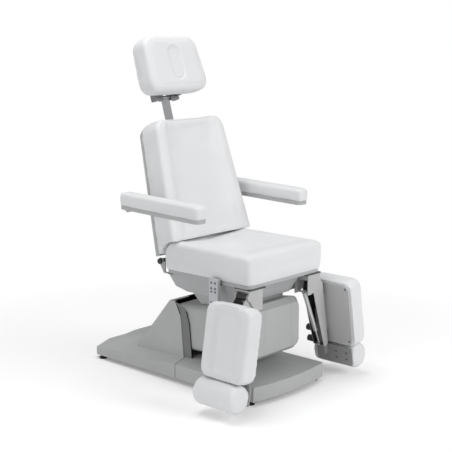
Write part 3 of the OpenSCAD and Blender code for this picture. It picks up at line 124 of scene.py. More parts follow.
def stretched(tree, vector, scale):
    mapping = tree.nodes.new("ShaderNodeMapping")
    mapping.inputs["Scale"].default_value = scale
    tree.links.new(vector, mapping.inputs["Vector"])
    return mapping.outputs["Vector"]


def noise(tree, vector, scale, detail=3, roughness=0.5):
    node = tree.nodes.new("ShaderNodeTexNoise")
    node.inputs["Scale"].default_value = scale
    node.inputs["Detail"].default_value = detail
    node.inputs["Roughness"].default_value = roughness
    tree.links.new(vector, node.inputs["Vector"])
    return node.outputs["Fac"]


def cells(tree, vector, scale, feature="F1"):
    node = tree.nodes.new("ShaderNodeTexVoronoi")
    node.feature = feature
    node.inputs["Scale"].default_value = scale
    tree.links.new(vector, node.inputs["Vector"])
    return node.outputs["Distance"]


def spread(tree, value, low, high, lowOut, highOut):
    node = tree.nodes.new("ShaderNodeMapRange")
    for socket, number in zip(("From Min", "From Max", "To Min", "To Max"), (low, high, lowOut, highOut)):
        node.inputs[socket].default_value = number
    tree.links.new(value, node.inputs["Value"])
    return node.outputs["Result"]


def blendColours(tree, factor, first, second):
    node = tree.nodes.new("ShaderNodeMix")
    node.data_type = "RGBA"
    tree.links.new(factor, node.inputs["Factor"])
    for socket, colour in (("A", first), ("B", second)):
        found = [s for s in node.inputs if s.name == socket and s.type == "RGBA"][0]
        if isinstance(colour, tuple):
            found.default_value = (*colour, 1)
        else:
            tree.links.new(colour, found)
    return [s for s in node.outputs if s.type == "RGBA"][0]


def bump(tree, height, strength, distance, before=None):
    node = tree.nodes.new("ShaderNodeBump")
    node.inputs["Strength"].default_value = strength
    node.inputs["Distance"].default_value = distance
    tree.links.new(height, node.inputs["Height"])
    if before is not None:
        tree.links.new(before, node.inputs["Normal"])
    return node.outputs["Normal"]


# Artificial leather: pebbled grain, faint creases, and a trace of handling in its sheen. The grain's pits
# are darkened with painted shade.
def leatherette(name, values):
    material, tree, shader, vector = newMaterial(name, values)
    grain = cells(tree, vector, values["grainScale"], "DISTANCE_TO_EDGE")
    pores = noise(tree, vector, values["poreScale"], 2)
    creases = noise(tree, vector, values["creaseScale"], 4, 0.55)
    cloud = noise(tree, vector, values["cloudScale"], 3)
    tone = blendColours(tree, spread(tree, cloud, *cloudSpan, 0, 1), values["colour"], values["shade"])
    # Painted shade: the colour darkens towards the pit colour in the grain's pits
    pit = spread(tree, grain, *pitSpan, values["pitShadeAmount"], 0)
    tree.links.new(blendColours(tree, pit, tone, values["pitShadeColour"]), shader.inputs["Base Color"])
    tree.links.new(spread(tree, creases, *noiseSpan, *values["roughness"]), shader.inputs["Roughness"])
    raised = spread(tree, grain, *grainSpan, 0, 1)
    normal = bump(tree, raised, values["grainBump"], values["grainDepth"])
    normal = bump(tree, pores, values["poreBump"], values["grainDepth"] / 2, normal)
    tree.links.new(bump(tree, creases, values["creaseBump"], values["creaseDepth"], normal),
                   shader.inputs["Normal"])
    return material


# Moulded or painted covers: fine texture, soft clouding and a few wiping marks
def moulded(name, values):
    material, tree, shader, vector = newMaterial(name, values)
    peel = noise(tree, vector, values["peelScale"], 2)
    cloud = noise(tree, vector, values["cloudScale"], 4)
    wiped = noise(tree, stretched(tree, vector, values["wipeStretch"]), values["wipeScale"], 5, 0.6)
    speck = cells(tree, vector, values["speckScale"])
    tone = blendColours(tree, spread(tree, cloud, *cloudSpan, 0, 1), values["colour"], values["shade"])
    tree.links.new(blendColours(tree, spread(tree, speck, *speckSpan, values["speckAmount"], 0), tone,
                                values["speckColour"]), shader.inputs["Base Color"])
    tree.links.new(spread(tree, wiped, *noiseSpan, *values["roughness"]), shader.inputs["Roughness"])
    tree.links.new(bump(tree, peel, values["peelBump"], values["peelDepth"]), shader.inputs["Normal"])
    return material


# Drawn or ground metal: long fine lines along one axis
def drawnMetal(name, values):
    material, tree, shader, vector = newMaterial(name, values)
    lines = noise(tree, stretched(tree, vector, values["lineStretch"]), values["lineScale"], 6, 0.7)
    cloud = noise(tree, vector, values["cloudScale"], 3)
    tree.links.new(blendColours(tree, spread(tree, cloud, *noiseSpan, 0, 1), values["colour"],
                                values["shade"]), shader.inputs["Base Color"])
    tree.links.new(spread(tree, lines, *noiseSpan, *values["roughness"]), shader.inputs["Roughness"])
    tree.links.new(bump(tree, lines, values["lineBump"], values["lineDepth"]), shader.inputs["Normal"])
    return material


whiteHide = leatherette("whiteLeatherette", dict(
    colour=(0.80, 0.805, 0.81), shade=(0.765, 0.77, 0.78), pitShadeColour=(0.66, 0.67, 0.68), pitShadeAmount=0.35,
    grainScale=620, poreScale=2400, creaseScale=14, cloudScale=3.5, roughness=(0.42, 0.55),
    grainBump=0.3, grainDepth=0.0005, poreBump=0.12, creaseBump=0.22, creaseDepth=0.004, ior=1.48))
coverValues = dict(peelScale=950, peelBump=0.16, peelDepth=0.0004, cloudScale=2.6, wipeScale=9,
                   wipeStretch=(1, 1, 0.35), speckScale=480, speckAmount=0.2, roughness=(0.36, 0.5))
coverGrey = moulded("coverGrey", dict(coverValues, colour=(0.47, 0.475, 0.475), shade=(0.44, 0.445, 0.447),
                                      speckColour=(0.34, 0.345, 0.35)))
# A darker grey for the hood's lips: partly their own darker flange, partly painted shade of their recess
lipGreyAndRecessShade = moulded("lipGreyAndRecessShade", dict(coverValues, colour=(0.20, 0.202, 0.203), shade=(0.175, 0.178, 0.18),
                                  speckColour=(0.14, 0.14, 0.145)))
shellGrey = moulded("shellGrey", dict(coverValues, colour=(0.455, 0.46, 0.465), shade=(0.425, 0.43, 0.435),
                                      speckColour=(0.33, 0.335, 0.34)))
armPaintValues = dict(coverValues, peelScale=700, colour=(0.52, 0.52, 0.525), shade=(0.48, 0.482, 0.486),
                      speckColour=(0.4, 0.4, 0.41))
armPaint = moulded("armPaint", armPaintValues)
platePaint = moulded("platePaint", dict(coverValues, peelScale=700, colour=(0.56, 0.56, 0.565),
                                        shade=(0.52, 0.52, 0.525), speckColour=(0.38, 0.38, 0.38)))
footPaint = moulded("footPaint", dict(coverValues, peelScale=700, colour=(0.34, 0.34, 0.342),
                                      shade=(0.3, 0.3, 0.303), speckColour=(0.16, 0.16, 0.16)))
silverPaint = moulded("silverPaint", dict(coverValues, peelScale=1200, peelBump=0.08, metallic=0.45,
                                          colour=(0.66, 0.665, 0.67), shade=(0.6, 0.605, 0.61),
                                          speckColour=(0.5, 0.5, 0.5), roughness=(0.26, 0.36)))
knobPlastic = moulded("knobPlastic", dict(
    coverValues, peelScale=1300, peelBump=0.3, colour=(0.1, 0.1, 0.102), shade=(0.075, 0.075, 0.077),
    speckColour=(0.15, 0.15, 0.15), roughness=(0.3, 0.42)))
darkPaintValues = dict(coverValues, peelScale=520, colour=(0.07, 0.072, 0.075), shade=(0.055, 0.057, 0.06),
                       speckColour=(0.12, 0.12, 0.12))
framePaint = moulded("framePaint", dict(darkPaintValues, peelBump=0.3, roughness=(0.45, 0.6)))
motorBlack = moulded("motorBlack", dict(
    coverValues, colour=(0.03, 0.03, 0.032), shade=(0.022, 0.022, 0.024),
    speckColour=(0.06, 0.06, 0.06), roughness=(0.4, 0.55)))
blackPlastic = moulded("blackPlastic", dict(
    coverValues, peelScale=1400, peelBump=0.3, colour=(0.028, 0.028, 0.03), shade=(0.02, 0.02, 0.021),
    speckColour=(0.05, 0.05, 0.05), roughness=(0.32, 0.45)))
# Black rubber for the feet; the same black on the hood's slot faces and lip edges is painted shadow
blackRubberAndSlotShade = moulded("blackRubberAndSlotShade", dict(
    coverValues, peelScale=600, peelBump=0.4, colour=(0.035, 0.034, 0.033), shade=(0.025, 0.025, 0.025),
    speckColour=(0.08, 0.078, 0.075), roughness=(0.7, 0.85), specular=0.3))
handsetGrey = moulded("handsetGrey", dict(coverValues, colour=(0.56, 0.575, 0.6), shade=(0.53, 0.545, 0.57),
                                          speckColour=(0.44, 0.45, 0.47), roughness=(0.4, 0.5)))
buttonGrey = moulded("buttonGrey", dict(coverValues, colour=(0.16, 0.17, 0.2), shade=(0.13, 0.14, 0.165),
                                        speckColour=(0.1, 0.1, 0.12), roughness=(0.35, 0.45)))
metalValues = dict(metallic=1.0, lineScale=70, lineBump=0.12, lineDepth=0.0003, cloudScale=5)
brushedAlong = drawnMetal("brushedSteel", dict(
    metalValues, lineStretch=(14, 14, 0.35), colour=(0.44, 0.445, 0.455), shade=(0.38, 0.385, 0.4),
    roughness=(0.34, 0.5)))
groundRod = drawnMetal("groundRod", dict(
    metalValues, lineStretch=(1, 1, 22), colour=(0.72, 0.72, 0.73), shade=(0.62, 0.62, 0.64),
    roughness=(0.16, 0.28)))
castDark = drawnMetal("castDark", dict(
    metalValues, lineStretch=(1, 1, 1), lineScale=240, lineBump=0.4, colour=(0.3, 0.3, 0.31),
    shade=(0.22, 0.22, 0.23), roughness=(0.42, 0.62)))
screwSteel = drawnMetal("screwSteel", dict(
    metalValues, lineStretch=(3, 3, 3), lineScale=300, colour=(0.2, 0.2, 0.21),
    shade=(0.13, 0.13, 0.14), roughness=(0.3, 0.45)))


# Paint of two colours: the second lies in a band of Y, between a channel arm's side plates or where the
# seat frame leaves the tray. Between the channel arm's side plates it is near black, painted shade inside
# the channel.
def bandPaint(name, values):
    material = moulded(name, values)
    tree = material.node_tree
    shader = tree.nodes["Principled BSDF"]
    apart = tree.nodes.new("ShaderNodeSeparateXYZ")
    coords = [node for node in tree.nodes if node.type == "TEX_COORD"][0]
    tree.links.new(coords.outputs["Object"], apart.inputs[0])
    inside = tree.nodes.new("ShaderNodeMath")
    inside.operation = "COMPARE"
    inside.inputs[1].default_value = values["bandMiddle"]
    inside.inputs[2].default_value = values["bandHalf"]
    tree.links.new(apart.outputs["Y"], inside.inputs[0])
    outer = shader.inputs["Base Color"].links[0].from_socket
    tree.links.new(blendColours(tree, inside.outputs[0], outer, values["bandColour"]),
                   shader.inputs["Base Color"])
    return material


# The near-black band is painted shade inside the channel, between the arm's side plates
channelGreyAndShade = bandPaint("channelPaintAndShade", dict(armPaintValues, bandMiddle=-0.44, bandHalf=0.0315,
                                             bandColour=(0.045, 0.045, 0.047)))
seatFramePaint = bandPaint("seatFramePaint", dict(darkPaintValues, bandMiddle=0.3, bandHalf=0.24,
                                                  bandColour=(0.40, 0.405, 0.41)))
print("finishes made")

finishOf = {
    "base_front_cover": coverGrey, "base_rear_cover": coverGrey, "lift_hood": coverGrey,
    "lift_cover": coverGrey, "lift_cover_ends": coverGrey, "turret_cover": coverGrey,
    "seat_tray": shellGrey, "base_frame": framePaint, "lift_carriage": framePaint,
    "seat_frame": seatFramePaint, "back_frame": framePaint,
    "levelling_feet": blackRubberAndSlotShade, "column_outer_tube": brushedAlong, "column_middle_tube": brushedAlong,
    "column_inner_tube": brushedAlong, "lift_motor": motorBlack, "tilt_actuator": motorBlack,
    "back_actuator": motorBlack, "tilt_actuator_rod": groundRod, "back_actuator_rod": groundRod,
    "back_hinge_pins": blackPlastic, "back_rear_cover": shellGrey, "headrest_bar": brushedAlong,
    "headrest_bracket": castDark, "handset": handsetGrey,
}
sideFinish = {"armrest_shell": shellGrey, "swivel_bracket": armPaint, "leg_arm": channelGreyAndShade,
              "calf_plate": platePaint, "gas_cylinder": silverPaint, "gas_rod": groundRod,
              "foot_bar": footPaint, "upper_knob": knobPlastic, "lower_knob": knobPlastic}
for side in ("left", "right"):
    finishOf.update({side + "_" + part: finish for part, finish in sideFinish.items()})
finishOf.update({"button_" + str(i + 1): buttonGrey for i in range(8)})
for node, finish in finishOf.items():
    mesh = frame["nodes"][node].data
    mesh.materials.clear()
    mesh.materials.append(finish)


# Round edges: a copy of a cover with its flat faces joined, then bevelled
def roundedCover(name, node, values):
    points, faces = welded(node)
    piece = newPiece(name, points, faces, finishOf[node], smooth=True)
    flat = piece.modifiers.new("flat", "DECIMATE")
    flat.decimate_type = "DISSOLVE"
    flat.angle_limit = math.radians(values["flatAngle"])
    edge = piece.modifiers.new("edge", "BEVEL")
    edge.width = values["edgeRadius"]
    edge.segments = values["edgeSteps"]
    edge.limit_method = "ANGLE"
    edge.angle_limit = math.radians(values["edgeAngle"])
    edge.use_clamp_overlap = True
    edge.miter_outer = "MITER_ARC"
    edge.harden_normals = True
    bakeModifiers(piece)
    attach(piece, bodyOf[node])
    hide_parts(node)
    return piece


coverEdges = dict(edgeRadius=0.003, edgeSteps=3, edgeAngle=28, flatAngle=1)
deckEdges = dict(coverEdges, edgeRadius=0.007, edgeSteps=4)
liftEdges = dict(coverEdges, edgeRadius=0.0015)
roundedCovers = {
    "frontDeck": ("base_front_cover", deckEdges),
    "rearDeck": ("base_rear_cover", deckEdges),
    "hoodShell": ("lift_hood", coverEdges),
    "liftCoverMiddle": ("lift_cover", liftEdges),
    "liftCoverEnds": ("lift_cover_ends", liftEdges),
    "turretSkirt": ("turret_cover", dict(coverEdges, edgeRadius=0.004)),
    "seatTray": ("seat_tray", coverEdges),
    "backShell": ("back_rear_cover", coverEdges),
    "handsetBody": ("handset", coverEdges),
    "leftArmShell": ("left_armrest_shell", coverEdges),
    "rightArmShell": ("right_armrest_shell", coverEdges),
}
for name, (node, values) in roundedCovers.items():
    piece = roundedCover(name, node, values)
    print("cover", name, len(piece.data.polygons), "faces")


# The tail of the base is domed. The deck is cut into strips, and its points
# rise by an arch from each side times one from the rear and a smooth step along
# it, up to a ceiling that falls to the rear and lies a skin lower inside.
tailValues = dict(step=0.012, firstCut=0.40, halfWidth=0.267, rear=0.632, rise=0.028, sideRun=0.12,
                  rearRun=0.11, fadeFrom=0.40, fadeTo=0.52, low=0.03, high=0.056, top=0.136, fall=0.042,
                  fallFrom=0.44, skin=0.0032)


# An arch: a half parabola from 0 at the edge, steepest there, to 1 over its run
def archStep(away, run):
    return 1 - (1 - np.clip(away / run, 0, 1)) ** 2


def domeTail(piece, values):
    mesh = bmesh.new()
    mesh.from_mesh(piece.data)
    half, step = values["halfWidth"], values["step"]
    cuts = [((0, y, 0), (0, 1, 0)) for y in np.arange(values["firstCut"], values["rear"], step)]
    cuts += [((x, 0, 0), (1, 0, 0)) for x in np.arange(-half, half, step)]
    for place, normal in cuts:
        near = [face for face in mesh.faces if max(v.co.y for v in face.verts) > values["firstCut"]]
        edges = {edge for face in near for edge in face.edges}
        points = {point for face in near for point in face.verts}
        bmesh.ops.bisect_plane(mesh, geom=near + list(edges) + list(points), plane_co=place,
                               plane_no=normal)
    mesh.to_mesh(piece.data)
    mesh.free()
    points = pointsOf(piece.data)
    rise = values["rise"] * archStep(half - np.abs(points[:, 0]), values["sideRun"])
    rise *= archStep(values["rear"] - points[:, 1], values["rearRun"])
    rise *= easeStep(points[:, 1], values["fadeFrom"], values["fadeTo"])
    rise *= easeStep(points[:, 2], values["low"], values["high"])
    ceiling = values["top"] - values["fall"] * easeStep(points[:, 1], values["fallFrom"], values["rear"])
    ceiling -= values["skin"] * (normalsOf(piece.data)[:, 2] < 0)
    points[:, 2] = np.minimum(points[:, 2] + rise, np.maximum(points[:, 2], ceiling))
    piece.data.vertices.foreach_set("co", points.ravel())
    piece.data.update()
    print("tail domed,", len(piece.data.polygons), "faces")


domeTail(bpy.data.objects["rearDeck"], tailValues)


# The joint of the two decks, a thin dark strip over their common section
seamValues = dict(y=0.012, width=0.0016, proud=0.0006, deep=0.002,
                  section=((-0.267, 0.026), (-0.267, 0.095), (-0.195, 0.117), (0.195, 0.117),
                           (0.267, 0.095), (0.267, 0.026)))


def deckSeam(values):
    section = np.array(values["section"])
    centre = section.mean(0)
    outward = np.sign(section - centre)
    points, faces = [], []
    for corner, away in zip(section, outward):
        for along, over in ((-0.5, 1), (0.5, 1), (0.5, -1), (-0.5, -1)):
            shift = away * (values["proud"] if over > 0 else -values["deep"])
            points.append((corner[0] + shift[0], values["y"] + along * values["width"],
                           corner[1] + shift[1]))
    rows = len(section)
    faces += [(4 * r + k, 4 * r + 4 + k, 4 * r + 4 + (k + 1) % 4, 4 * r + (k + 1) % 4)
              for r in range(rows - 1) for k in range(4)]
    faces += [(0, 1, 2, 3), tuple(4 * rows - 1 - k for k in range(4))]
    piece = newPiece("deckSeam", points, faces, blackRubberAndSlotShade, smooth=False)
    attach(piece, bodyOf["base_frame"])


deckSeam(seamValues)


# The hood's lips are darker: partly a darker flange of their own, partly painted shade of their recess.
# They are painted black as the slot's shadow where they face the lift cover and on their forward edges.
# They lie within the hood's half width, and their edges look ahead.
hoodValues = dict(halfWidth=0.195, skin=0.003, lipEdge=0.0055, seamY=0.075)


def paintHood(piece, values):
    mesh = piece.data
    mesh.materials.append(lipGreyAndRecessShade)
    mesh.materials.append(blackRubberAndSlotShade)
    centres = np.empty(len(mesh.polygons) * 3)
    normals = np.empty(len(mesh.polygons) * 3)
    mesh.polygons.foreach_get("center", centres)
    mesh.polygons.foreach_get("normal", normals)
    centres, normals = centres.reshape(-1, 3), normals.reshape(-1, 3)
    within = np.abs(centres[:, 0]) < values["halfWidth"] - values["skin"]
    outward = normals[:, 0] * np.sign(centres[:, 0])
    paint = np.zeros(len(mesh.polygons), np.int32)
    # Lip faces: darker grey, partly painted shade of their recess
    paint[within & (outward > 0.5) & (centres[:, 1] < values["seamY"])] = 1
    # Painted shadow: faces looking at the lift cover, and the lips' forward edges, are black as the slot's
    # shade
    edge = (normals[:, 1] < -0.5) & (np.abs(centres[:, 0]) < values["halfWidth"] - values["lipEdge"])
    paint[(within & (outward < -0.5)) | edge] = 2
    mesh.polygons.foreach_set("material_index", paint)
    print("hood painted,", int((paint == 1).sum()), "lip and", int((paint == 2).sum()), "slot faces")


paintHood(bpy.data.objects["hoodShell"], hoodValues)


# Screws with a domed head and a sunk middle, all of one plate in one mesh
def spinScrews(name, node, places, axis, values):
    axis = np.array(axis, float) / np.linalg.norm(axis)
    side = np.cross(axis, (0, 1, 0) if abs(axis[1]) < 0.9 else (1, 0, 0))
    side /= np.linalg.norm(side)
    other = np.cross(axis, side)
    count, profile = values["steps"], values["profile"]
    angles = np.arange(count) * 2 * math.pi / count
    ring = np.cos(angles)[:, None] * side + np.sin(angles)[:, None] * other
    points, faces = [], []
    for place in places:
        start = len(points)
        rings = [np.array(place) + ring * r + axis * h for r, h in profile]
        points += [tuple(p) for rows in rings for p in rows]
        faces += [(start + k * count + i, start + k * count + (i + 1) % count,
                   start + (k + 1) * count + (i + 1) % count, start + (k + 1) * count + i)
                  for k in range(len(profile) - 1) for i in range(count)]
        faces += [tuple(start + i for i in reversed(range(count))),
                  tuple(start + (len(profile) - 1) * count + i for i in range(count))]
    piece = newPiece(name, points, faces, screwSteel)
    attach(piece, bodyOf[node])


# How far back and headrest lean, how far armrests droop and how far legs splay
backLean, headLean, armDroop, legLean = (math.radians(a) for a in (16, 20, 1.6, 9.6))
legAxis = (0.260, -0.44, 0.522)  # a point on the left leg's raising axis


# A leg rest's own measures, off the arm, across and down it, as a world place
def onLeg(off, across, down, side):
    x, y, z = legAxis
    return (side * (x + down * math.sin(legLean) + off * math.cos(legLean)), y + across,
            z - down * math.cos(legLean) + off * math.sin(legLean))


screwValues = dict(steps=20, profile=((0.0058, -0.001), (0.0058, 0.0012), (0.0048, 0.0026),
                                      (0.0026, 0.003), (0.0022, 0.0012)))
plateScrews = {
    "Calf": ("calf_plate", 0.058, [(-0.154, 0.058), (0.052, 0.058), (-0.154, 0.342), (0.052, 0.342),
                                   (0.052, 0.2)]),
    "Foot": ("foot_bar", 0.0598, [(-0.126, 0.413), (-0.126, 0.447), (-0.062, 0.413), (-0.062, 0.447)]),
}
for side, sign in (("left", 1), ("right", -1)):
    facing = (-sign * math.cos(legLean), 0, -math.sin(legLean))
    for part, (node, off, spots) in plateScrews.items():
        spinScrews(side + part + "Screws", side + "_" + node,
                   [onLeg(off, across, down, sign) for across, down in spots], facing, screwValues)
print("screws made")


# Joins of the neighbours of each point, for smoothing
def neighbours(mesh):
    edges = np.empty(len(mesh.edges) * 2, np.int32)
    mesh.edges.foreach_get("vertices", edges)
    return edges.reshape(-1, 2)


# Smooths a surface without shrinking it: a step towards the mean of each
# point's neighbours, then a slightly larger step back
stepIn, stepBack = 0.55, -0.57


def smoothed(points, edges, rounds):
    count = np.bincount(edges.ravel(), minlength=len(points))[:, None]
    for turn in range(2 * rounds):
        total = np.stack([np.bincount(edges[:, 0], points[edges[:, 1], k], len(points))
                          + np.bincount(edges[:, 1], points[edges[:, 0], k], len(points))
                          for k in range(3)], 1)
        points = points + (stepBack if turn % 2 else stepIn) * (total / count - points)
    return points


# Sinks a panel between two bolsters into a pad's front, with a sewn channel
# at each side. Widths are shares of the pad's half width at that place along
# it: the panel's depth fades over the channel, and the channel's groove is a
# bell curve across its own line. The pad's top edge dips in the middle.
panelRows, evenRows = 60, 7  # rows along a pad to take its half width in, and a mean over so many


def pressPanel(mesh, up, board, panel):
    points = pointsOf(mesh)
    across = points @ np.array(panel["across"], float)
    across -= (across.max() + across.min()) / 2
    along = points @ np.array(panel["along"], float)
    height = points @ up - board
    places = np.linspace(along.min(), along.max(), panelRows)
    row = np.clip(np.searchsorted(places, along), 1, len(places) - 1)
    half = np.zeros(len(places))
    np.maximum.at(half, row, np.abs(across))
    half = np.convolve(np.pad(half[1:], evenRows // 2, "edge"), np.ones(evenRows) / evenRows, "valid")
    share = np.abs(across) / np.interp(along, places[1:], half)
    front = easeStep(normalsOf(mesh) @ up, *panel["frontFacing"])
    front *= easeStep(height / height.max(), *panel["frontHeight"])
    sunk = panel["depth"] * (1 - easeStep(share, *panel["fade"]))
    groove = panel["grooveDepth"] * np.exp(-((share - panel["line"]) / panel["grooveWidth"]) ** 2)
    points -= np.outer((sunk + groove) * front, up)
    dip = easeStep(along, along.max() - panel["dipLength"], along.max())
    dip *= 1 - easeStep(share, *panel["dipFade"])
    points -= np.outer(panel["dip"] * dip, panel["along"])
    mesh.vertices.foreach_set("co", points.ravel())
    mesh.update()


# Presses the sewn ring of an oval into a pad's front, a bell curve across the
# line at one distance from a short segment, and fills its middle out again
def pressOval(mesh, up, oval):
    points = pointsOf(mesh)
    across, along = points @ np.array(oval["across"], float), points @ np.array(oval["along"], float)
    middle = along.min() + (along.max() - along.min()) * oval["placeShare"]
    away = np.hypot(across, np.maximum(np.abs(along - middle) - oval["halfSegment"], 0))
    groove = oval["depth"] * np.exp(-((away - oval["radius"]) / oval["grooveWidth"]) ** 2)
    pillow = oval["pillow"] * (1 - easeStep(away, oval["pillowFrom"], oval["radius"]))
    points -= np.outer((groove - pillow) * easeStep(normalsOf(mesh) @ up, *oval["frontFacing"]), up)
    mesh.vertices.foreach_set("co", points.ravel())
    mesh.update()


# A stuffed pad: the CAD form remeshed, drawn in a little and inflated as cloth
# with its board side held. Each point then moves out along its normal by what
# the cloth did, between the draw-in and the cap, and is subdivided once.
def stuffedPad(name, node, values):
    points, faces = welded(node)
    piece = newPiece(name, points, faces, whiteHide)
    up = np.array(values["up"], float)
    up /= np.linalg.norm(up)
    board = (points @ up).min()
    remesh = piece.modifiers.new("remesh", "REMESH")
    remesh.mode = "VOXEL"
    remesh.voxel_size = values["voxel"]
    remesh.use_smooth_shade = True
    bakeModifiers(piece)
    mesh = piece.data
    rest = pointsOf(mesh)
    height = rest @ up - board
    held = np.clip((values["boardSkin"] - height) / values["boardSkin"] + 0.5, 0, 1)[:, None]
    rest = rest * held + smoothed(rest, neighbours(mesh), values["smoothing"]) * (1 - held)
    mesh.vertices.foreach_set("co", rest.ravel())
    mesh.update()
    start = rest - normalsOf(mesh) * values["drawIn"] * (1 - held)
    mesh.vertices.foreach_set("co", start.ravel())
    mesh.update()
    group = piece.vertex_groups.new(name="board")
    group.add([int(i) for i in np.nonzero(held[:, 0] > values["pinned"])[0]], 1, "REPLACE")
    cloth = piece.modifiers.new("Cloth", "CLOTH").settings
    cloth.quality = values["quality"]
    cloth.mass = values["mass"]
    cloth.tension_stiffness = cloth.compression_stiffness = values["stretch"]
    cloth.shear_stiffness = values["stretch"] / 2
    cloth.bending_stiffness = values["bend"]
    cloth.use_pressure = True
    cloth.uniform_pressure_force = values["pressure"]
    cloth.vertex_group_mass = "board"
    cloth.effector_weights.gravity = 0
    for step in range(values["frames"]):
        scene.frame_set(step + 1)
    swollen = pointsOf(piece.evaluated_get(bpy.context.evaluated_depsgraph_get()).data)
    piece.modifiers.clear()
    scene.frame_set(1)
    outward = normalsOf(mesh)
    push = np.clip(((swollen - start) * outward).sum(1), values["drawIn"], values["cap"])
    start = start + outward * push[:, None] * (1 - held)
    start = start * held + smoothed(start, neighbours(mesh), values["evening"]) * (1 - held)
    flat = (start @ up < board) | (held[:, 0] > values["pinned"])
    start[flat] -= np.outer(start[flat] @ up - board, up)
    mesh.vertices.foreach_set("co", start.ravel())
    mesh.update()
    finer = piece.modifiers.new("finer", "SUBSURF")
    finer.levels = finer.render_levels = 1
    bakeModifiers(piece)
    mesh = piece.data
    mesh.polygons.foreach_set("use_smooth", np.full(len(mesh.polygons), True))
    if "panel" in values:
        pressPanel(mesh, up, board, values["panel"])
    if "oval" in values:
        pressOval(mesh, up, values["oval"])
    return piece


# The pad's twin on the other side, its faces turned so that they point out
def twinPad(name, piece):
    mesh = piece.data.copy()
    points = pointsOf(mesh) * (-1, 1, 1)
    mesh.vertices.foreach_set("co", points.ravel())
    mesh.flip_normals()
    twin = bpy.data.objects.new(name, mesh)
    scene.collection.objects.link(twin)
    return twin


def fitPad(piece, node):
    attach(piece, bodyOf[node])
    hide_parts(node)
    print("pad", piece.name, len(piece.data.polygons), "faces")


backUp, headUp = ((0, -math.cos(lean), math.sin(lean)) for lean in (backLean, headLean))
legUp = (math.cos(legLean), 0, math.sin(legLean))
armUp = (0, -math.sin(armDroop), math.cos(armDroop))
padValues = dict(voxel=0.0075, boardSkin=0.006, smoothing=5, drawIn=0.003, pinned=0.4, quality=4, mass=0.3,
                 frames=20, stretch=15, bend=2, pressure=4, cap=0.006, evening=6)
panelValues = dict(depth=0.009, grooveDepth=0.0015, frontFacing=(0.35, 0.9), frontHeight=(0.1, 0.3),
                   dipLength=0.1, dipFade=(0.25, 0.8))
backPanel = dict(panelValues, across=(1, 0, 0), along=(0, math.sin(backLean), math.cos(backLean)),
                 fade=(0.58, 0.8), line=0.68, grooveWidth=0.035, dip=0.003)
calfPanel = dict(panelValues, across=(0, 1, 0), along=(math.sin(legLean), 0, -math.cos(legLean)),
                 fade=(0.32, 0.62), line=0.42, grooveWidth=0.05, dip=0)
headOval = dict(across=(1, 0, 0), along=(0, math.sin(headLean), math.cos(headLean)), placeShare=0.5,
                halfSegment=0.045, radius=0.038, depth=0.0065, grooveWidth=0.006, pillow=0.008,
                pillowFrom=0.014, frontFacing=(0.3, 0.7))
singlePads = {
    "seatPad": ("seat_cushion", dict(padValues, up=(0, 0, 1)), 0.85),
    "backPad": ("back_cushion", dict(padValues, up=backUp, panel=backPanel), 0.8),
    "headPad": ("headrest_cushion", dict(padValues, up=headUp, voxel=0.0055, oval=headOval), 0.8),
}
for name, (node, values, fill) in singlePads.items():
    fitPad(stuffedPad(name, node, values), node)
pairedPads = {
    "ArmPad": ("armrest_pad", dict(padValues, up=armUp, voxel=0.0055, drawIn=0.002, cap=0.004), 0.85),
    "CalfPad": ("calf_pad", dict(padValues, up=legUp, evening=14, panel=calfPanel), 0.8),
    "FootPad": ("foot_pad", dict(padValues, up=legUp, voxel=0.006, drawIn=0.002, cap=0.004), 0.85),
}
for name, (node, values, fill) in pairedPads.items():
    leftPad = stuffedPad("left" + name, "left_" + node, values)
    rightPad = twinPad("right" + name, leftPad)
    fitPad(leftPad, "left_" + node)
    fitPad(rightPad, "right_" + node)
print("pads made")

# Floor, soft lamps and the photo's camera
stageValues = dict(floorSize=60.0, floorColour=(0.9, 0.9, 0.905), lift=0.2, clearFrom=0.9, clearTo=2.1,
                   worldLevel=0.44)


# A pale floor that takes the shadow near the chair. For camera and glossy rays
# it is a little lifted there, and turns to plain white farther out.
def makeFloor(values):
    half = values["floorSize"] / 2
    material = bpy.data.materials.new("paleFloor")
    material.use_nodes = True
    tree = material.node_tree
    tree.nodes.clear()
    output = tree.nodes.new("ShaderNodeOutputMaterial")
    lit = tree.nodes.new("ShaderNodeBsdfDiffuse")
    lit.inputs["Color"].default_value = (*values["floorColour"], 1)
    white = tree.nodes.new("ShaderNodeEmission")
    mix = tree.nodes.new("ShaderNodeMixShader")
    coords = tree.nodes.new("ShaderNodeTexCoord")
    far = tree.nodes.new("ShaderNodeVectorMath")
    far.operation = "LENGTH"
    tree.links.new(coords.outputs["Object"], far.inputs[0])
    fade = spread(tree, far.outputs["Value"], values["clearFrom"], values["clearTo"], 0, 1)
    path = tree.nodes.new("ShaderNodeLightPath")
    seen = tree.nodes.new("ShaderNodeMath")
    seen.operation = "MAXIMUM"
    tree.links.new(path.outputs["Is Camera Ray"], seen.inputs[0])
    tree.links.new(path.outputs["Is Glossy Ray"], seen.inputs[1])
    amount = tree.nodes.new("ShaderNodeMath")
    amount.operation = "MULTIPLY"
    tree.links.new(fade, amount.inputs[0])
    tree.links.new(seen.outputs[0], amount.inputs[1])
    tree.links.new(amount.outputs[0], mix.inputs[0])
    lift = tree.nodes.new("ShaderNodeEmission")
    lifted = tree.nodes.new("ShaderNodeAddShader")
    lift.inputs["Color"].default_value = (values["lift"],) * 3 + (1,)
    tree.links.new(seen.outputs[0], lift.inputs["Strength"])
    tree.links.new(lit.outputs[0], lifted.inputs[0])
    tree.links.new(lift.outputs[0], lifted.inputs[1])
    tree.links.new(lifted.outputs[0], mix.inputs[1])
    tree.links.new(white.outputs[0], mix.inputs[2])
    tree.links.new(mix.outputs[0], output.inputs["Surface"])
    corners = [(-half, -half, 0), (half, -half, 0), (half, half, 0), (-half, half, 0)]
    floor = newPiece("floor", corners, [(0, 1, 2, 3)], material, smooth=False)


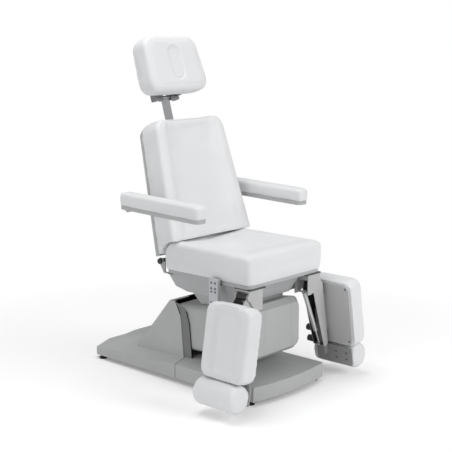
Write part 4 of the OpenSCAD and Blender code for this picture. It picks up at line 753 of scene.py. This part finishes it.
# Even light from all sides, seen as white behind the chair
def makeWorld(level):
    world = bpy.data.worlds.new("studio")
    world.use_nodes = True
    tree = world.node_tree
    tree.nodes.clear()
    output = tree.nodes.new("ShaderNodeOutputWorld")
    light = tree.nodes.new("ShaderNodeBackground")
    light.inputs["Strength"].default_value = level
    seenBack = tree.nodes.new("ShaderNodeBackground")
    seenBack.inputs["Color"].default_value = (1, 1, 1, 1)
    path = tree.nodes.new("ShaderNodeLightPath")
    mix = tree.nodes.new("ShaderNodeMixShader")
    tree.links.new(path.outputs["Is Camera Ray"], mix.inputs[0])
    tree.links.new(light.outputs[0], mix.inputs[1])
    tree.links.new(seenBack.outputs[0], mix.inputs[2])
    tree.links.new(mix.outputs[0], output.inputs["Surface"])
    scene.world = world


def makeLamp(name, values):
    lamp = bpy.data.lights.new(name, "AREA")
    lamp.shape = "DISK"
    lamp.size = values["size"]
    lamp.energy = values["watts"]
    item = bpy.data.objects.new(name, lamp)
    item.location = values["place"]
    item.rotation_mode = "QUATERNION"
    look = Vector(values["target"]) - Vector(values["place"])
    item.rotation_quaternion = look.to_track_quat("-Z", "Y")
    scene.collection.objects.link(item)


makeFloor(stageValues)
makeWorld(stageValues["worldLevel"])
lamps = {
    "topLamp": dict(place=(-0.6, 0.5, 4.5), target=(0, 0, 0.4), size=3.2, watts=92),
    "frontLamp": dict(place=(1.2, -4.6, 2.4), target=(0, 0, 0.7), size=2.6, watts=101),
    "sideLamp": dict(place=(-4.4, -0.8, 1.8), target=(0, 0, 0.6), size=2.4, watts=36),
}
for name, values in lamps.items():
    makeLamp(name, values)

cameraValues = dict(azimuth=-47.4, elevation=10.58, distance=5.2795, target=(0.01715, -0.075, 0.7742),
                    lens=83.455)


def makeCamera(values):
    azimuth, elevation = math.radians(values["azimuth"]), math.radians(values["elevation"])
    back = Vector((math.sin(azimuth) * math.cos(elevation), -math.cos(azimuth) * math.cos(elevation),
                   math.sin(elevation)))
    data = bpy.data.cameras.new("camera")
    data.sensor_width = 36
    data.lens = values["lens"]
    data.clip_end = 200
    camera = bpy.data.objects.new("camera", data)
    camera.rotation_mode = "QUATERNION"
    camera.location = Vector(values["target"]) + back * values["distance"]
    camera.rotation_quaternion = (-back).to_track_quat("-Z", "Y")
    scene.collection.objects.link(camera)
    scene.camera = camera


makeCamera(cameraValues)
scene.view_settings.view_transform = "Standard"
print("stage made")
